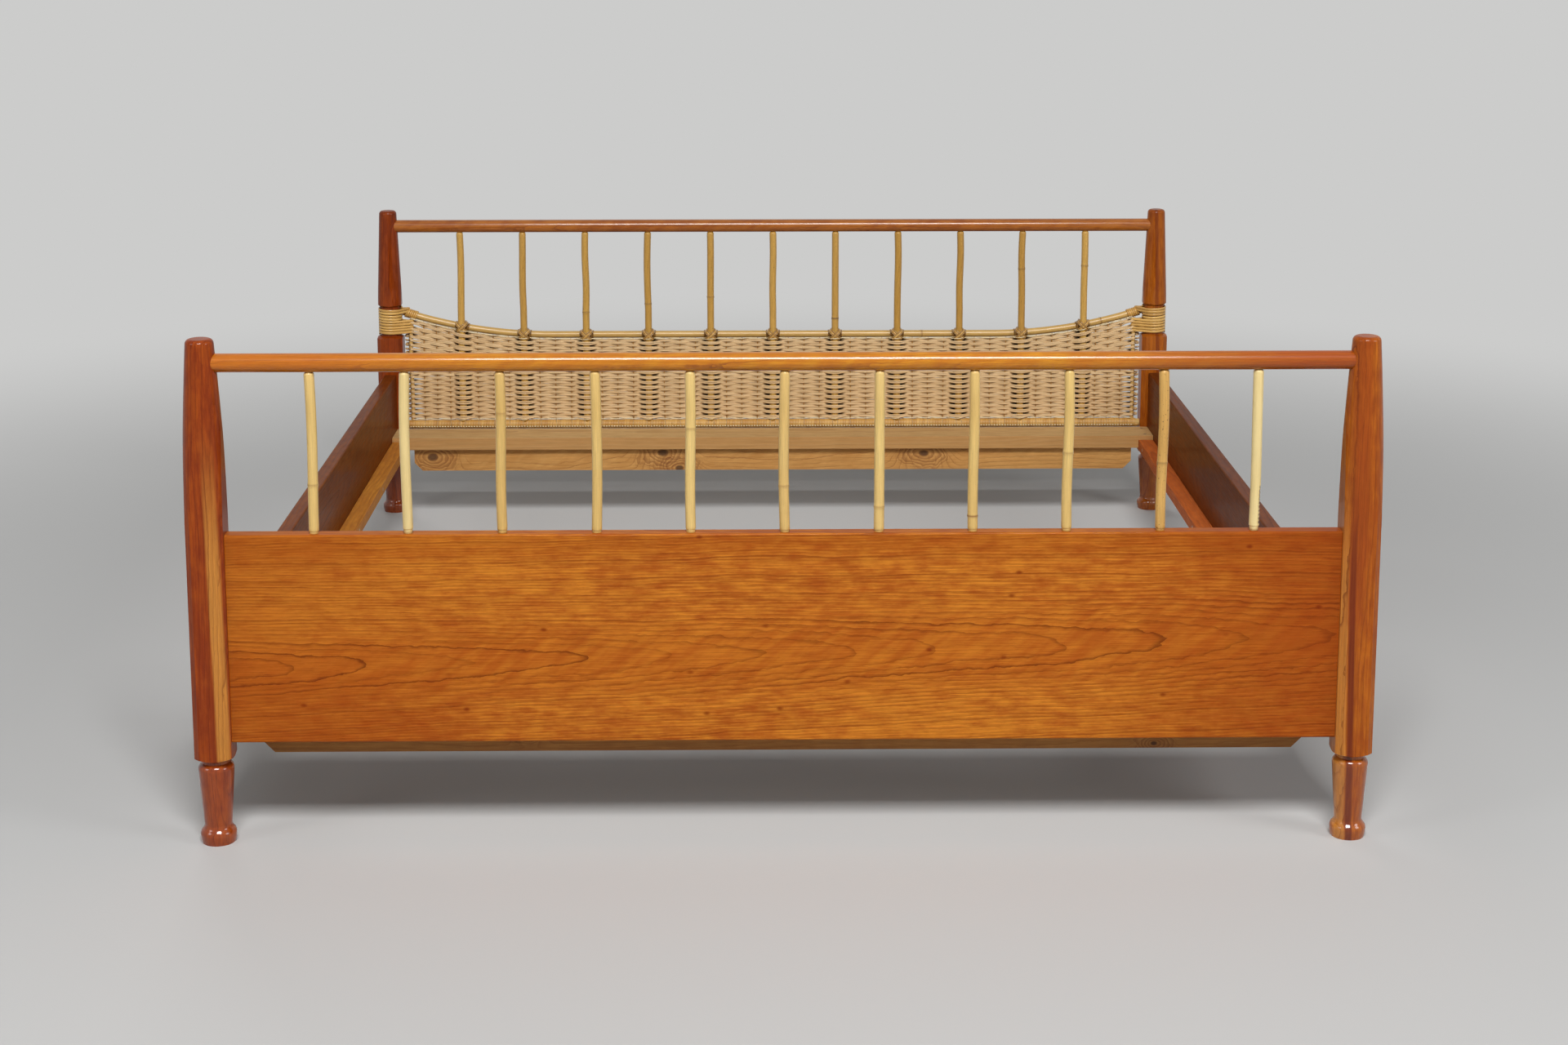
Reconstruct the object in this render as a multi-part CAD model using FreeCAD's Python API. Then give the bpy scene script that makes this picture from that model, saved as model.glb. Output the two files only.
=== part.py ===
import FreeCAD, Part
import math
import os

from FreeCAD import Vector

# Low double bed: a foot end with a solid panel, a head end woven in cane, two side rails.
# Millimetres. +X is across the bed, +Y runs from foot to head and +Z is up.
# The origin is on the floor, under the middle of the bed.

# Plan
clear_width = 1812.0  # between the inner faces of the side rails
post_pitch = 2040.0  # from a foot post's axis to a head post's axis

# Posts: a chamfered square blank, turned at its foot and at its top
foot_post_height = 832.0
head_post_height = 738.0
post_width = 60.0
post_chamfer = 9.0
turning_spare = 1.0  # by how much the turned outline clears the blank's corners
taper_start = 500.0  # the foot post's turned taper leaves its corners here
taper_bulge = 1.9  # how far the foot post's taper swells past a straight line
foot_post_tip_radius = 22.5
tip_rounding = 8.0

# Turned foot of every post
base_radius = 27.0
ball_radius = 29.2
ball_height = 15.0
waist_radius = 22.3
waist_height = 31.0
bead_radius = 29.0
bead_height = 125.0
bead_rounding = 11.0
groove_radius = 22.0
groove_top = 139.5
shoulder_slope = 0.5

# Head post above its square part
neck_bottom = 436.0
neck_height = 70.0
upper_width = 55.0
upper_base_radius = 29.5
upper_ease = 5.0
head_post_tip_radius = 20.5

# Top rails and spindles
top_rail_radius = 15.0
foot_rail_drop = 39.0  # from the top of a foot post to its rail's axis
head_rail_drop = 38.0
rail_end_inset = 8.0  # the rail stops this far short of the post's axis
spindle_pitch = 150.0
spindle_margin = 60.0  # least space between a post and the axis of the spindle beside it
spindle_radius = 8.25
spindle_tip = 4.0
tenon_radius = 5.0
rail_tenon_depth = 11.0
node_swell = 0.7
node_half_length = 3.0
# Where each pole has a node, as a share of its way from the panel or the crest rail to the top rail
foot_spindle_nodes = [0.29, None, 0.74, None, 0.64, 0.275, 0.14, 0.08, 0.48, 0.415, None]
head_spindle_nodes = [None, None, 0.23, 0.31, 0.375, None, 0.165, None, None, 0.64, 0.67]

# Foot panel
panel_thickness = 28.0
panel_bottom = 171.0
panel_top = 516.0
spindle_seat_depth = 20.0
spindle_seat_radius = 7.3  # a foot pole's shaved lower end
spindle_seat_show = 4.0  # how much of the shaved end stands above the panel
spindle_seat_slope = 1.5
board_ease = 3.0
dowel_radius = 5.0
dowel_length = 50.0
dowel_count = 3
dowel_edge = 60.0

# Side rails and the pine that carries the bed's base
rail_thickness = 28.0
rail_bottom = 171.0
rail_top = 343.0
ledger_width = 35.0
ledger_height = 25.0
ledger_top = 200.0
ledge_depth = 95.0
ledge_thickness = 30.0
tongue_rise = 10.0  # how far a ledge stands above the ledgers
lap_depth = 1.0  # how deep the ends of a ledge are let into the ledgers
cross_rail_thickness = 45.0
cross_rail_height = 54.0
cross_rail_inset = 86.0  # from the posts' axes to the cross rail's middle
cross_rail_end_gap = 15.0
cross_rail_chamfer = 19.0
pine_ease = 1.5

# Screws
screw_head_radius = 4.0
screw_radius = 2.0
screw_rim = 0.4
screw_head_height = 2.5
screw_tip = 3.0
ledger_screw_length = 48.0
ledger_screw_count = 6
ledger_screw_margin = 150.0
ledge_screw_length = 30.0
ledge_screw_pitch = 60.0

# Knock-down fittings between side rails and posts
plate_width = 16.0
plate_height = 90.0
plate_thickness = 3.0
hook_thickness = 4.5
hook_pitch = 44.0
hook_neck = 12.0
hook_lip = 8.0
hook_lip_thickness = 4.0
mortise_spare = 2.0

# Cane end
crest_radius = 8.5
crest_level = 432.0
crest_flat_half = 530.0  # the crest rail is level for this far each side of the middle
crest_bend = 1170.0
lashing_radius = 15.0
lashing_wall = 3.0
lashing_rounding = 6.0
weave_thickness = 9.0
weave_wrap = 3.2  # strands lying on a stake
side_stake_radius = 5.0
side_stake_gap = 13.0  # clear space between a side stake and its post
side_stake_tenon = 3.0
thin_stake_radius = 1.3
thin_stakes_per_bay = 3
bar_radius = 9.0
bar_wrap = 2.0
bar_height = 214.0
bar_tenon = 14.0
neck_cane_radius = 2.6
neck_cane_half_turns = 19
neck_cane_cover = 1.0  # the cane lies this far under the post's faces
crest_cane_radius = 1.8
crest_cane_pitch = 4.4
crest_cane_half_turns = 13
crest_cane_inset = 6.0

# Clearances
fit = 0.1  # between a piece and its socket, bore or recess
ease_gap = 0.5  # between boards that are only set against each other
wind_gap = 0.3  # between cane and what it goes round

# Derived places
post_x = (clear_width + rail_thickness) / 2
post_y = post_pitch / 2
half_post = post_width / 2
corner_radius = math.hypot(half_post, half_post - post_chamfer) + turning_spare
inner_x = post_x - half_post
inner_y = post_y - half_post
rail_inner_x = clear_width / 2
fitting_z = (rail_bottom + rail_top) / 2
ledger_inner_x = rail_inner_x - ledger_width
ledge_top = ledger_top + tongue_rise
ledge_bottom = ledge_top - ledge_thickness
lap_seat = ledger_top - lap_depth
neck_top = neck_bottom + neck_height
neck_cane_outer = half_post - neck_cane_cover
neck_radius = neck_cane_outer - 2 * neck_cane_radius - wind_gap
crest_y = post_y + spindle_radius + crest_radius + wind_gap
crest_end_x = post_x - neck_cane_outer - wind_gap
wrap_radius = bar_radius + bar_wrap
wrap_top = bar_height + wrap_radius
side_stake_x = inner_x - side_stake_gap - side_stake_radius
foot_rail_height = foot_post_height - foot_rail_drop
head_rail_height = head_post_height - head_rail_drop
spindle_count = 2 * int((inner_x - spindle_margin) / spindle_pitch) + 1
spindle_xs = [(i - (spindle_count - 1) / 2) * spindle_pitch for i in range(spindle_count)]
sides = (("left", -1), ("right", 1))
ends = (("foot", -1), ("head", 1))


def box(x0, x1, y0, y1, z0, z1):
    corner = Vector(min(x0, x1), min(y0, y1), min(z0, z1))
    return Part.makeBox(abs(x1 - x0), abs(y1 - y0), abs(z1 - z0), corner)


def rod(radius, start, end):
    start = Vector(*start)
    reach = Vector(*end) - start
    return Part.makeCylinder(radius, reach.Length, start, reach)


def upright(radius, x, low, high):
    # A rod that stands in the plane of the head end.
    return rod(radius, (x, post_y, low), (x, post_y, high))


def arc(start, middle, end):
    return Part.Arc(start, middle, end).toShape()


def line(start, end):
    return Part.LineSegment(start, end).toShape()


def turned(edges):
    # A solid of revolution about Z from a half outline in the XZ plane that is closed on the axis.
    closing = line(edges[-1].lastVertex().Point, edges[0].firstVertex().Point)
    wire = Part.Wire(Part.__sortEdges__(edges + [closing]))
    return Part.Face(wire).revolve(Vector(0, 0, 0), Vector(0, 0, 1), 360)


def outline(points):
    # Straight edges through points given as radius and height.
    places = [Vector(radius, 0, height) for radius, height in points]
    return [line(a, b) for a, b in zip(places, places[1:])]


def cut(shape, tools):
    return shape.cut(Part.makeCompound(tools))


def eased(shape, radius, direction):
    # Rounds the edges that run along one direction.
    edges = [edge for edge in shape.Edges if abs(edge.tangentAt(edge.FirstParameter).dot(direction)) > 0.99]
    return shape.makeFillet(radius, edges)


def save(name, shape):
    pieces = shape if isinstance(shape, list) else [shape]
    solids = [solid for piece in pieces for solid in piece.Solids]
    node = solids[0] if len(solids) == 1 else Part.makeCompound(solids)
    node.exportStep("parts/" + name + ".step")
    print(name, len(solids), "solid" if len(solids) == 1 else "solids", node.isValid())


# Posts

def blank(width, bottom, top):
    # A square length of timber with its four long corners chamfered.
    half = width / 2
    flat = half - post_chamfer
    corners = [(half, -flat), (half, flat), (flat, half), (-flat, half)]
    corners += [(-x, -y) for x, y in corners]
    loop = [Vector(x, y, bottom) for x, y in corners]
    face = Part.Face(Part.makePolygon(loop + loop[:1]))
    return face.extrude(Vector(0, 0, top - bottom))


def plumb_arc(plumb, end):
    # The arc in the XZ plane that runs straight up and down at one point and ends at another.
    step = end.x - plumb.x
    rise = end.z - plumb.z
    radius = (step ** 2 + rise ** 2) / (2 * step)
    half_turn = math.asin(rise / radius) / 2
    reach = radius - radius * math.cos(half_turn)
    return arc(plumb, plumb + Vector(reach, 0, radius * math.sin(half_turn)), end)


def foot_outline():
    # Ball, waist, tapered shank, bead and groove, then the cone that frees the square part.
    ball_low = Vector(base_radius, 0, 0)
    ball_side = Vector(ball_radius, 0, ball_height)
    waist = Vector(waist_radius, 0, waist_height)
    flare = (ball_side + waist) * 0.5
    bead_centre = bead_radius - bead_rounding
    bead_turn = math.acos((groove_radius - bead_centre) / bead_rounding)

    def on_bead(turn):
        reach = bead_centre + bead_rounding * math.cos(turn)
        return Vector(reach, 0, bead_height + bead_rounding * math.sin(turn))

    groove = Vector(groove_radius, 0, groove_top)
    freed = Vector(corner_radius, 0, groove_top + (corner_radius - groove_radius) * shoulder_slope)
    return [
        line(Vector(0, 0, 0), ball_low),
        plumb_arc(ball_side, ball_low),
        plumb_arc(ball_side, flare),
        plumb_arc(waist, flare),
        line(waist, on_bead(0)),
        arc(on_bead(0), on_bead(bead_turn / 2), on_bead(bead_turn)),
        line(on_bead(bead_turn), groove),
        line(groove, freed),
    ]


def tip_outline(radius, height):
    # The eased end of a post, from the end of its taper to the axis.
    corner = 1 - math.sqrt(0.5)
    side = Vector(radius, 0, height - tip_rounding)
    middle = Vector(radius - tip_rounding * corner, 0, height - tip_rounding * corner)
    crown = Vector(radius - tip_rounding, 0, height)
    return [arc(side, middle, crown), line(crown, Vector(0, 0, height))]


def foot_post_body():
    freed = foot_outline()
    start = Vector(corner_radius, 0, taper_start)
    tip = Vector(foot_post_tip_radius, 0, foot_post_height - tip_rounding)
    middle = (start + tip) * 0.5 + Vector(taper_bulge, 0, 0)
    edges = freed + [line(freed[-1].lastVertex().Point, start), arc(start, middle, tip)]
    edges += tip_outline(foot_post_tip_radius, foot_post_height)
    return turned(edges).common(blank(post_width, 0, foot_post_height))


def head_post_body():
    freed = foot_outline()
    eased_z = neck_bottom - (corner_radius - half_post + upper_ease) * shoulder_slope
    rest = outline([
        (corner_radius, freed[-1].lastVertex().Z),
        (corner_radius, eased_z),
        (half_post - upper_ease, neck_bottom),
        (neck_radius, neck_bottom),
        (neck_radius, neck_top),
        (upper_base_radius - upper_ease, neck_top),
        (upper_base_radius, neck_top + upper_ease),
        (head_post_tip_radius, head_post_height - tip_rounding),
    ])
    edges = freed + rest + tip_outline(head_post_tip_radius, head_post_height)
    middle = (neck_bottom + neck_top) / 2
    lower = blank(post_width, 0, middle)
    upper = blank(upper_width, middle, head_post_height)
    return turned(edges).common(lower.fuse(upper))


def rail_socket(side, height, y):
    stop = side * (post_x - rail_end_inset + fit)
    return rod(top_rail_radius + fit, (stop, y, height), (side * (inner_x - fit), y, height))


def dowel_heights():
    span = panel_top - panel_bottom - 2 * dowel_edge
    return [panel_bottom + dowel_edge + span * i / (dowel_count - 1) for i in range(dowel_count)]


def dowel(side, height, grow):
    reach = dowel_length / 2 + grow
    start = (side * (inner_x - reach), -post_y, height)
    return rod(dowel_radius + grow, start, (side * (inner_x + reach), -post_y, height))


def plate_block(side, y0, y1, grow):
    # The block that a fitting's plate fills between two faces, in the middle of a rail's end.
    half_width = plate_width / 2 + grow
    half_height = plate_height / 2 + grow
    x = side * post_x
    return box(x - half_width, x + half_width, y0, y1, fitting_z - half_height, fitting_z + half_height)


def slot_plate_seat(side, end):
    # The recess for the slotted plate in a post's face and the mortise that takes the hooks.
    face = end * inner_y
    back = face + end * (plate_thickness + fit)
    deep = back + end * (hook_lip_thickness + mortise_spare)
    half_mortise = hook_thickness / 2 + mortise_spare
    half_run = plate_height / 2 - plate_thickness
    x = side * post_x
    mortise = box(x - half_mortise, x + half_mortise, face, deep, fitting_z - half_run, fitting_z + half_run)
    return [plate_block(side, face, back, fit), mortise]


def make_posts():
    bodies = {"foot": foot_post_body(), "head": head_post_body()}
    for end_name, end in ends:
        for side_name, side in sides:
            body = bodies[end_name].copy()
            body.translate(Vector(side * post_x, end * post_y, 0))
            height = foot_rail_height if end < 0 else head_rail_height
            tools = [rail_socket(side, height, end * post_y)] + slot_plate_seat(side, end)
            if end < 0:
                tools += [dowel(side, z, fit) for z in dowel_heights()]
            else:
                tools.append(bottom_bar(fit))
            save(end_name + "_post_" + side_name, cut(body, tools))


# Top rails, spindles and foot panel

def top_rail(height, y):
    half = post_x - rail_end_inset
    body = rod(top_rail_radius, (-half, y, height), (half, y, height))
    seat = height - top_rail_radius
    bores = [
        rod(tenon_radius + fit, (x, y, seat - fit), (x, y, seat + rail_tenon_depth + fit))
        for x in spindle_xs
    ]
    return cut(body, bores)


def spindle(x, y, low_points, free_from, rail_height, share):
    # A rattan pole: its lower end as given, a swelling at its node, and a rounded tip with a tenon.
    shoulder = rail_height - top_rail_radius - fit
    points = list(low_points)
    if share:
        node = free_from + share * (shoulder - free_from)
        points.append((spindle_radius, node - node_half_length))
        points.append((spindle_radius + node_swell, node))
        points.append((spindle_radius, node + node_half_length))
    points.append((spindle_radius, shoulder - spindle_tip))
    points.append((tenon_radius, shoulder))
    points.append((tenon_radius, shoulder + rail_tenon_depth))
    points.append((0, shoulder + rail_tenon_depth))
    body = turned(outline(points))
    body.translate(Vector(x, y, 0))
    return body


def make_spindles():
    foot_low = panel_top - spindle_seat_depth
    foot_seat = panel_top + spindle_seat_show
    foot_points = [(0, foot_low), (spindle_seat_radius, foot_low)]
    foot_points.append((spindle_seat_radius, foot_seat))
    foot_points.append((spindle_radius, foot_seat + spindle_seat_slope))
    head_seat = wrap_top + fit
    head_points = [(0, bar_height), (tenon_radius, bar_height), (tenon_radius, head_seat)]
    head_points.append((spindle_radius, head_seat))
    for number, x in enumerate(spindle_xs):
        label = "_spindle_%02d" % (number + 1)
        foot_node = foot_spindle_nodes[number % len(foot_spindle_nodes)]
        head_node = head_spindle_nodes[number % len(head_spindle_nodes)]
        foot_pole = spindle(x, -post_y, foot_points, foot_seat, foot_rail_height, foot_node)
        head_pole = spindle(x, post_y, head_points, crest_level, head_rail_height, head_node)
        save("foot" + label, foot_pole)
        save("head" + label, head_pole)


def foot_panel():
    half = panel_thickness / 2
    board = box(-inner_x, inner_x, -post_y - half, -post_y + half, panel_bottom, panel_top)
    board = eased(board, board_ease, Vector(1, 0, 0))
    seat = panel_top - spindle_seat_depth
    tools = [
        rod(spindle_seat_radius + fit, (x, -post_y, seat), (x, -post_y, panel_top + fit))
        for x in spindle_xs
    ]
    tools += [dowel(side, z, fit) for _, side in sides for z in dowel_heights()]
    return cut(board, tools)


# Side rails, ledgers, ledges and cross rails

def screw(length, grow):
    # A countersunk screw with its head's face at the origin, pointing up.
    head = screw_head_radius + grow
    shank = screw_radius + grow
    return turned(outline([
        (0, -grow),
        (head, -grow),
        (head, screw_rim + grow),
        (shank, screw_head_height + grow),
        (shank, length - screw_tip + grow),
        (0, length + grow),
    ]))


def placed_screw(length, grow, place, direction):
    body = screw(length, grow)
    turn = FreeCAD.Rotation(Vector(0, 0, 1), Vector(*direction))
    body.Placement = FreeCAD.Placement(Vector(*place), turn)
    return body


def ledger_screws(side, grow):
    span = 2 * (inner_y - ledger_screw_margin)
    step = span / (ledger_screw_count - 1)
    height = ledger_top - ledger_height / 2
    ys = [-span / 2 + step * i for i in range(ledger_screw_count)]
    return [
        placed_screw(ledger_screw_length, grow, (side * ledger_inner_x, y, height), (side, 0, 0))
        for y in ys
    ]


def ledge_middle(end):
    return end * (inner_y - ease_gap - ledge_depth / 2)


def ledge_screws(side, end, grow):
    x = side * (rail_inner_x - ledger_width / 2)
    ys = [ledge_middle(end) + shift * ledge_screw_pitch / 2 for shift in (-1, 1)]
    return [placed_screw(ledge_screw_length, grow, (x, y, ledge_top), (0, 0, -1)) for y in ys]


def hook_profile(end, height):
    # A hook through a slotted plate: its neck rests on the slot's foot and its lip hangs behind.
    face = end * inner_y
    behind = face + end * (plate_thickness + 2 * fit)
    tip = behind + end * hook_lip_thickness
    low = height - hook_lip
    high = height + hook_neck
    shape = [(face, height), (face, high), (tip, high), (tip, low), (behind, low), (behind, height)]
    return [Vector(0, y, z) for y, z in shape]


def hook_heights():
    return [fitting_z + shift * hook_pitch / 2 for shift in (-1, 1)]


def rail_hook(side, end):
    face = end * inner_y
    body = plate_block(side, face - end * plate_thickness, face, 0)
    for height in hook_heights():
        loop = hook_profile(end, height)
        hook = Part.Face(Part.makePolygon(loop + loop[:1])).extrude(Vector(hook_thickness, 0, 0))
        hook.translate(Vector(side * post_x - hook_thickness / 2, 0, 0))
        body = body.fuse(hook)
    return body.removeSplitter()


def slot_plate(side, end):
    x = side * post_x
    face = end * (inner_y + fit)
    back = face + end * plate_thickness
    half_slot = hook_thickness / 2 + fit
    slots = []
    for height in hook_heights():
        low = height - fit
        high = height + hook_neck + hook_lip + fit
        slots.append(box(x - half_slot, x + half_slot, face, back, low, high))
    return cut(plate_block(side, face, back, 0), slots)


def side_rail(side):
    half = rail_thickness / 2
    x = side * post_x
    board = box(x - half, x + half, -inner_y, inner_y, rail_bottom, rail_top)
    board = eased(board, board_ease, Vector(0, 1, 0))
    tools = ledger_screws(side, fit)
    for _, end in ends:
        back = end * (inner_y - plate_thickness - fit)
        tools.append(plate_block(side, back, end * inner_y, fit))
    return cut(board, tools)


def lap(side, end):
    # The shallow seat in a ledger's top that takes the thinned end of a ledge.
    reach = ledge_depth / 2 + ease_gap
    low_y = ledge_middle(end) - reach
    high_y = ledge_middle(end) + reach
    over = ledger_top + ease_gap
    inner = side * (ledger_inner_x - ease_gap)
    return box(inner, side * (rail_inner_x + ease_gap), low_y, high_y, lap_seat, over)


def ledger(side):
    low = ledger_top - ledger_height
    strip = box(side * ledger_inner_x, side * rail_inner_x, -inner_y, inner_y, low, ledger_top)
    strip = eased(strip, pine_ease, Vector(0, 1, 0))
    tools = ledger_screws(side, fit)
    for _, end in ends:
        tools.append(lap(side, end))
        tools += ledge_screws(side, end, fit)
    return cut(strip, tools)


def ledge(end):
    # A board across the bed whose thinned ends lie on the ledgers.
    half = rail_inner_x - ease_gap
    y = ledge_middle(end)
    board = box(-half, half, y - ledge_depth / 2, y + ledge_depth / 2, ledge_bottom, ledge_top)
    board = eased(board, pine_ease, Vector(1, 0, 0))
    tools = []
    for _, side in sides:
        tools.append(box(
            side * (ledger_inner_x - ease_gap), side * (half + fit),
            y - ledge_depth, y + ledge_depth,
            ledge_bottom - fit, lap_seat,
        ))
        tools += ledge_screws(side, end, fit)
    return cut(board, tools)


def cross_rail(end):
    # A rail on edge under a ledge, with the lower corners of its ends cut off.
    half = ledger_inner_x - cross_rail_end_gap
    low = ledge_bottom - cross_rail_height
    inset = half - cross_rail_chamfer
    rise = low + cross_rail_chamfer
    y = end * (post_y - cross_rail_inset) - cross_rail_thickness / 2
    shape = [(half, ledge_bottom), (half, rise), (inset, low)]
    shape += [(-x, z) for x, z in reversed(shape)]
    loop = [Vector(x, y, z) for x, z in shape]
    return Part.Face(Part.makePolygon(loop + loop[:1])).extrude(Vector(0, cross_rail_thickness, 0))


def make_sides():
    for name, side in sides:
        save("side_rail_" + name, side_rail(side))
        save("ledger_" + name, ledger(side))
    for name, end in ends:
        save(name + "_ledge", ledge(end))
        save(name + "_cross_rail", cross_rail(end))
    corners = [(side, end) for _, side in sides for _, end in ends]
    save("rail_hooks", [rail_hook(side, end) for side, end in corners])
    save("post_slot_plates", [slot_plate(side, end) for side, end in corners])
    save("ledger_screws", [item for _, side in sides for item in ledger_screws(side, 0)])
    save("ledge_screws", [item for side, end in corners for item in ledge_screws(side, end, 0)])
    save("panel_dowels", [dowel(side, z, 0) for _, side in sides for z in dowel_heights()])


# Cane end

def crest_turn(x):
    # The angle that the crest rail has turned through at a place across the bed.
    beyond = max(abs(x) - crest_flat_half, 0)
    return math.asin(beyond / crest_bend)


def crest_z(x):
    return crest_level + crest_bend * (1 - math.cos(crest_turn(x)))


def crest_rail(grow):
    # A level pole that bends up towards both posts in one long arc each.
    radius = crest_radius + grow
    body = rod(radius, (-crest_flat_half, crest_y, crest_level), (crest_flat_half, crest_y, crest_level))
    turn = math.degrees(crest_turn(crest_end_x))
    for _, side in sides:
        start = Vector(side * crest_flat_half, crest_y, crest_level)
        section = Part.Face(Part.Wire(Part.makeCircle(radius, start, Vector(1, 0, 0))))
        pivot = start + Vector(0, 0, crest_bend)
        body = body.fuse(section.revolve(pivot, Vector(0, -side, 0), turn))
    return body.removeSplitter()


def lashing_core(x, grow):
    # A rounded drum across the crossing of crest rail and spindle, along Y.
    radius = lashing_radius + grow
    front = -spindle_radius - lashing_wall - grow
    back = crest_y - post_y + crest_radius + lashing_wall + grow
    drum = turned(outline([(0, front), (radius, front), (radius, back), (0, back)]))
    rims = [edge for edge in drum.Edges if isinstance(edge.Curve, Part.Circle)]
    drum = drum.makeFillet(lashing_rounding, rims)
    lay = FreeCAD.Rotation(Vector(0, 0, 1), Vector(0, 1, 0))
    drum.Placement = FreeCAD.Placement(Vector(x, post_y, crest_z(x)), lay)
    return drum


def lashings():
    pole = crest_rail(fit)
    knots = []
    for x in spindle_xs:
        stem = upright(spindle_radius + fit, x, wrap_top, head_rail_height)
        knots.append(cut(lashing_core(x, 0), [pole, stem]))
    return knots


def bottom_bar(grow):
    half = inner_x + bar_tenon + grow
    return rod(bar_radius + grow, (-half, post_y, bar_height), (half, post_y, bar_height))


def stake_bores(depth):
    top = wrap_top + fit
    bores = [upright(tenon_radius + fit, x, depth, top) for x in spindle_xs]
    bores += [upright(side_stake_tenon + fit, side * side_stake_x, depth, top) for _, side in sides]
    return bores


def bar_wrapping():
    half = inner_x - ease_gap
    sleeve = rod(wrap_radius, (-half, post_y, bar_height), (half, post_y, bar_height))
    return cut(sleeve, [bottom_bar(fit)] + stake_bores(bar_height))


def weave_top(x):
    # The weave ends just under the crest rail and follows its bend.
    reach = crest_bend + crest_radius + ease_gap
    beyond = max(abs(x) - crest_flat_half, 0)
    return crest_level + crest_bend - math.sqrt(reach ** 2 - beyond ** 2)


def side_stake(side):
    top = weave_top(side_stake_x)
    body = turned(outline([
        (0, bar_height),
        (side_stake_tenon, bar_height),
        (side_stake_tenon, wrap_top + fit),
        (side_stake_radius, wrap_top + fit),
        (side_stake_radius, top),
        (0, top),
    ]))
    body.translate(Vector(side * side_stake_x, post_y, 0))
    return body


def thin_stake_xs():
    posts = [-side_stake_x] + spindle_xs + [side_stake_x]
    parts = thin_stakes_per_bay + 1
    return [a + (b - a) * i / parts for a, b in zip(posts, posts[1:]) for i in range(1, parts)]


def thin_stake(x, grow):
    return upright(thin_stake_radius + grow, x, wrap_top + ease_gap, weave_top(x) + grow)


def cane_weave():
    # A woven sheet between bottom bar and crest rail, thicker where it goes round a stake.
    low = wrap_top + ease_gap
    y = post_y - weave_thickness / 2

    def top_point(x):
        return Vector(x, y, weave_top(x))

    bend_middle = (crest_flat_half + side_stake_x) / 2
    corners = [Vector(-side_stake_x, y, low), Vector(side_stake_x, y, low)]
    edges = [
        line(corners[0], corners[1]),
        line(corners[1], top_point(side_stake_x)),
        arc(top_point(side_stake_x), top_point(bend_middle), top_point(crest_flat_half)),
        line(top_point(crest_flat_half), top_point(-crest_flat_half)),
        arc(top_point(-crest_flat_half), top_point(-bend_middle), top_point(-side_stake_x)),
        line(top_point(-side_stake_x), corners[0]),
    ]
    sheet = Part.Face(Part.Wire(edges)).extrude(Vector(0, weave_thickness, 0))
    sleeves = [upright(spindle_radius + weave_wrap, x, low, weave_top(x)) for x in spindle_xs]
    tools = [upright(spindle_radius + fit, x, wrap_top, head_rail_height) for x in spindle_xs]
    selvedge_top = neck_bottom - ease_gap
    for _, side in sides:
        x = side * side_stake_x
        sleeves.append(upright(side_stake_radius + weave_wrap, x, low, selvedge_top))
        tools.append(upright(side_stake_radius + fit, x, wrap_top, head_rail_height))
    tools += [thin_stake(x, fit) for x in thin_stake_xs()]
    tools += [lashing_core(x, wind_gap) for x in spindle_xs]
    return cut(sheet.fuse(sleeves), tools)


# Wound cane

def tangent_arc(start, tangent, end):
    # The arc that leaves a point along a tangent and ends at another point.
    chord = end - start
    across = chord - tangent * chord.dot(tangent)
    across.normalize()
    radius = chord.dot(chord) / (2 * chord.dot(across))
    centre = start + across * radius
    outward = (start + end) * 0.5 - centre
    outward.normalize()
    return arc(start, centre + outward * radius, end)


def biarc(start, leaving, end, arriving):
    # Two arcs that join two points with a given tangent at each.
    span = end - start
    both = leaving + arriving
    bend = 2 * (1 - leaving.dot(arriving))
    along = span.dot(both)
    reach = (math.sqrt(along ** 2 + bend * span.dot(span)) - along) / bend
    middle = (start + leaving * reach + end - arriving * reach) * 0.5
    return [tangent_arc(start, leaving, middle), tangent_arc(end, arriving * -1, middle)]


def winding(start, axis, coil_radius, cane_radius, pitch, half_turns):
    # One unbroken length of cane wound round an axis, with a short straight run at each end.
    axis = Vector(*axis)
    axis.normalize()
    first = axis.cross(Vector(0, 1, 0))
    first.normalize()
    second = axis.cross(first)
    rise = pitch / (2 * math.pi)
    tilt = math.hypot(coil_radius, rise)

    def place(turn):
        round_axis = first * (coil_radius * math.cos(turn)) + second * (coil_radius * math.sin(turn))
        return Vector(*start) + round_axis + axis * (rise * turn)

    def heading(turn):
        flat = second * (coil_radius * math.cos(turn)) - first * (coil_radius * math.sin(turn))
        return (flat + axis * rise) * (1 / tilt)

    turns = [math.pi * i for i in range(half_turns + 1)]
    lead = place(0) - heading(0) * (2 * cane_radius)
    tail = place(turns[-1]) + heading(turns[-1]) * (2 * cane_radius)
    edges = [line(lead, place(0))]
    for a, b in zip(turns, turns[1:]):
        edges += biarc(place(a), heading(a), place(b), heading(b))
    edges.append(line(place(turns[-1]), tail))
    path = Part.Wire(Part.__sortEdges__(edges))
    section = Part.Wire(Part.makeCircle(cane_radius, lead, heading(0)))
    return path.makePipeShell([section], True, False), least_gap(path, cane_radius)


def least_gap(path, cane_radius):
    # The least clear distance between stretches of the cane that aren't neighbours along it.
    spacing = cane_radius / 2
    points = path.discretize(Distance=spacing)
    apart = int(6 * cane_radius / spacing)
    gaps = [
        (points[i] - points[j]).Length
        for i in range(len(points))
        for j in range(i + apart, len(points))
    ]
    return min(gaps) - 2 * cane_radius


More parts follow.
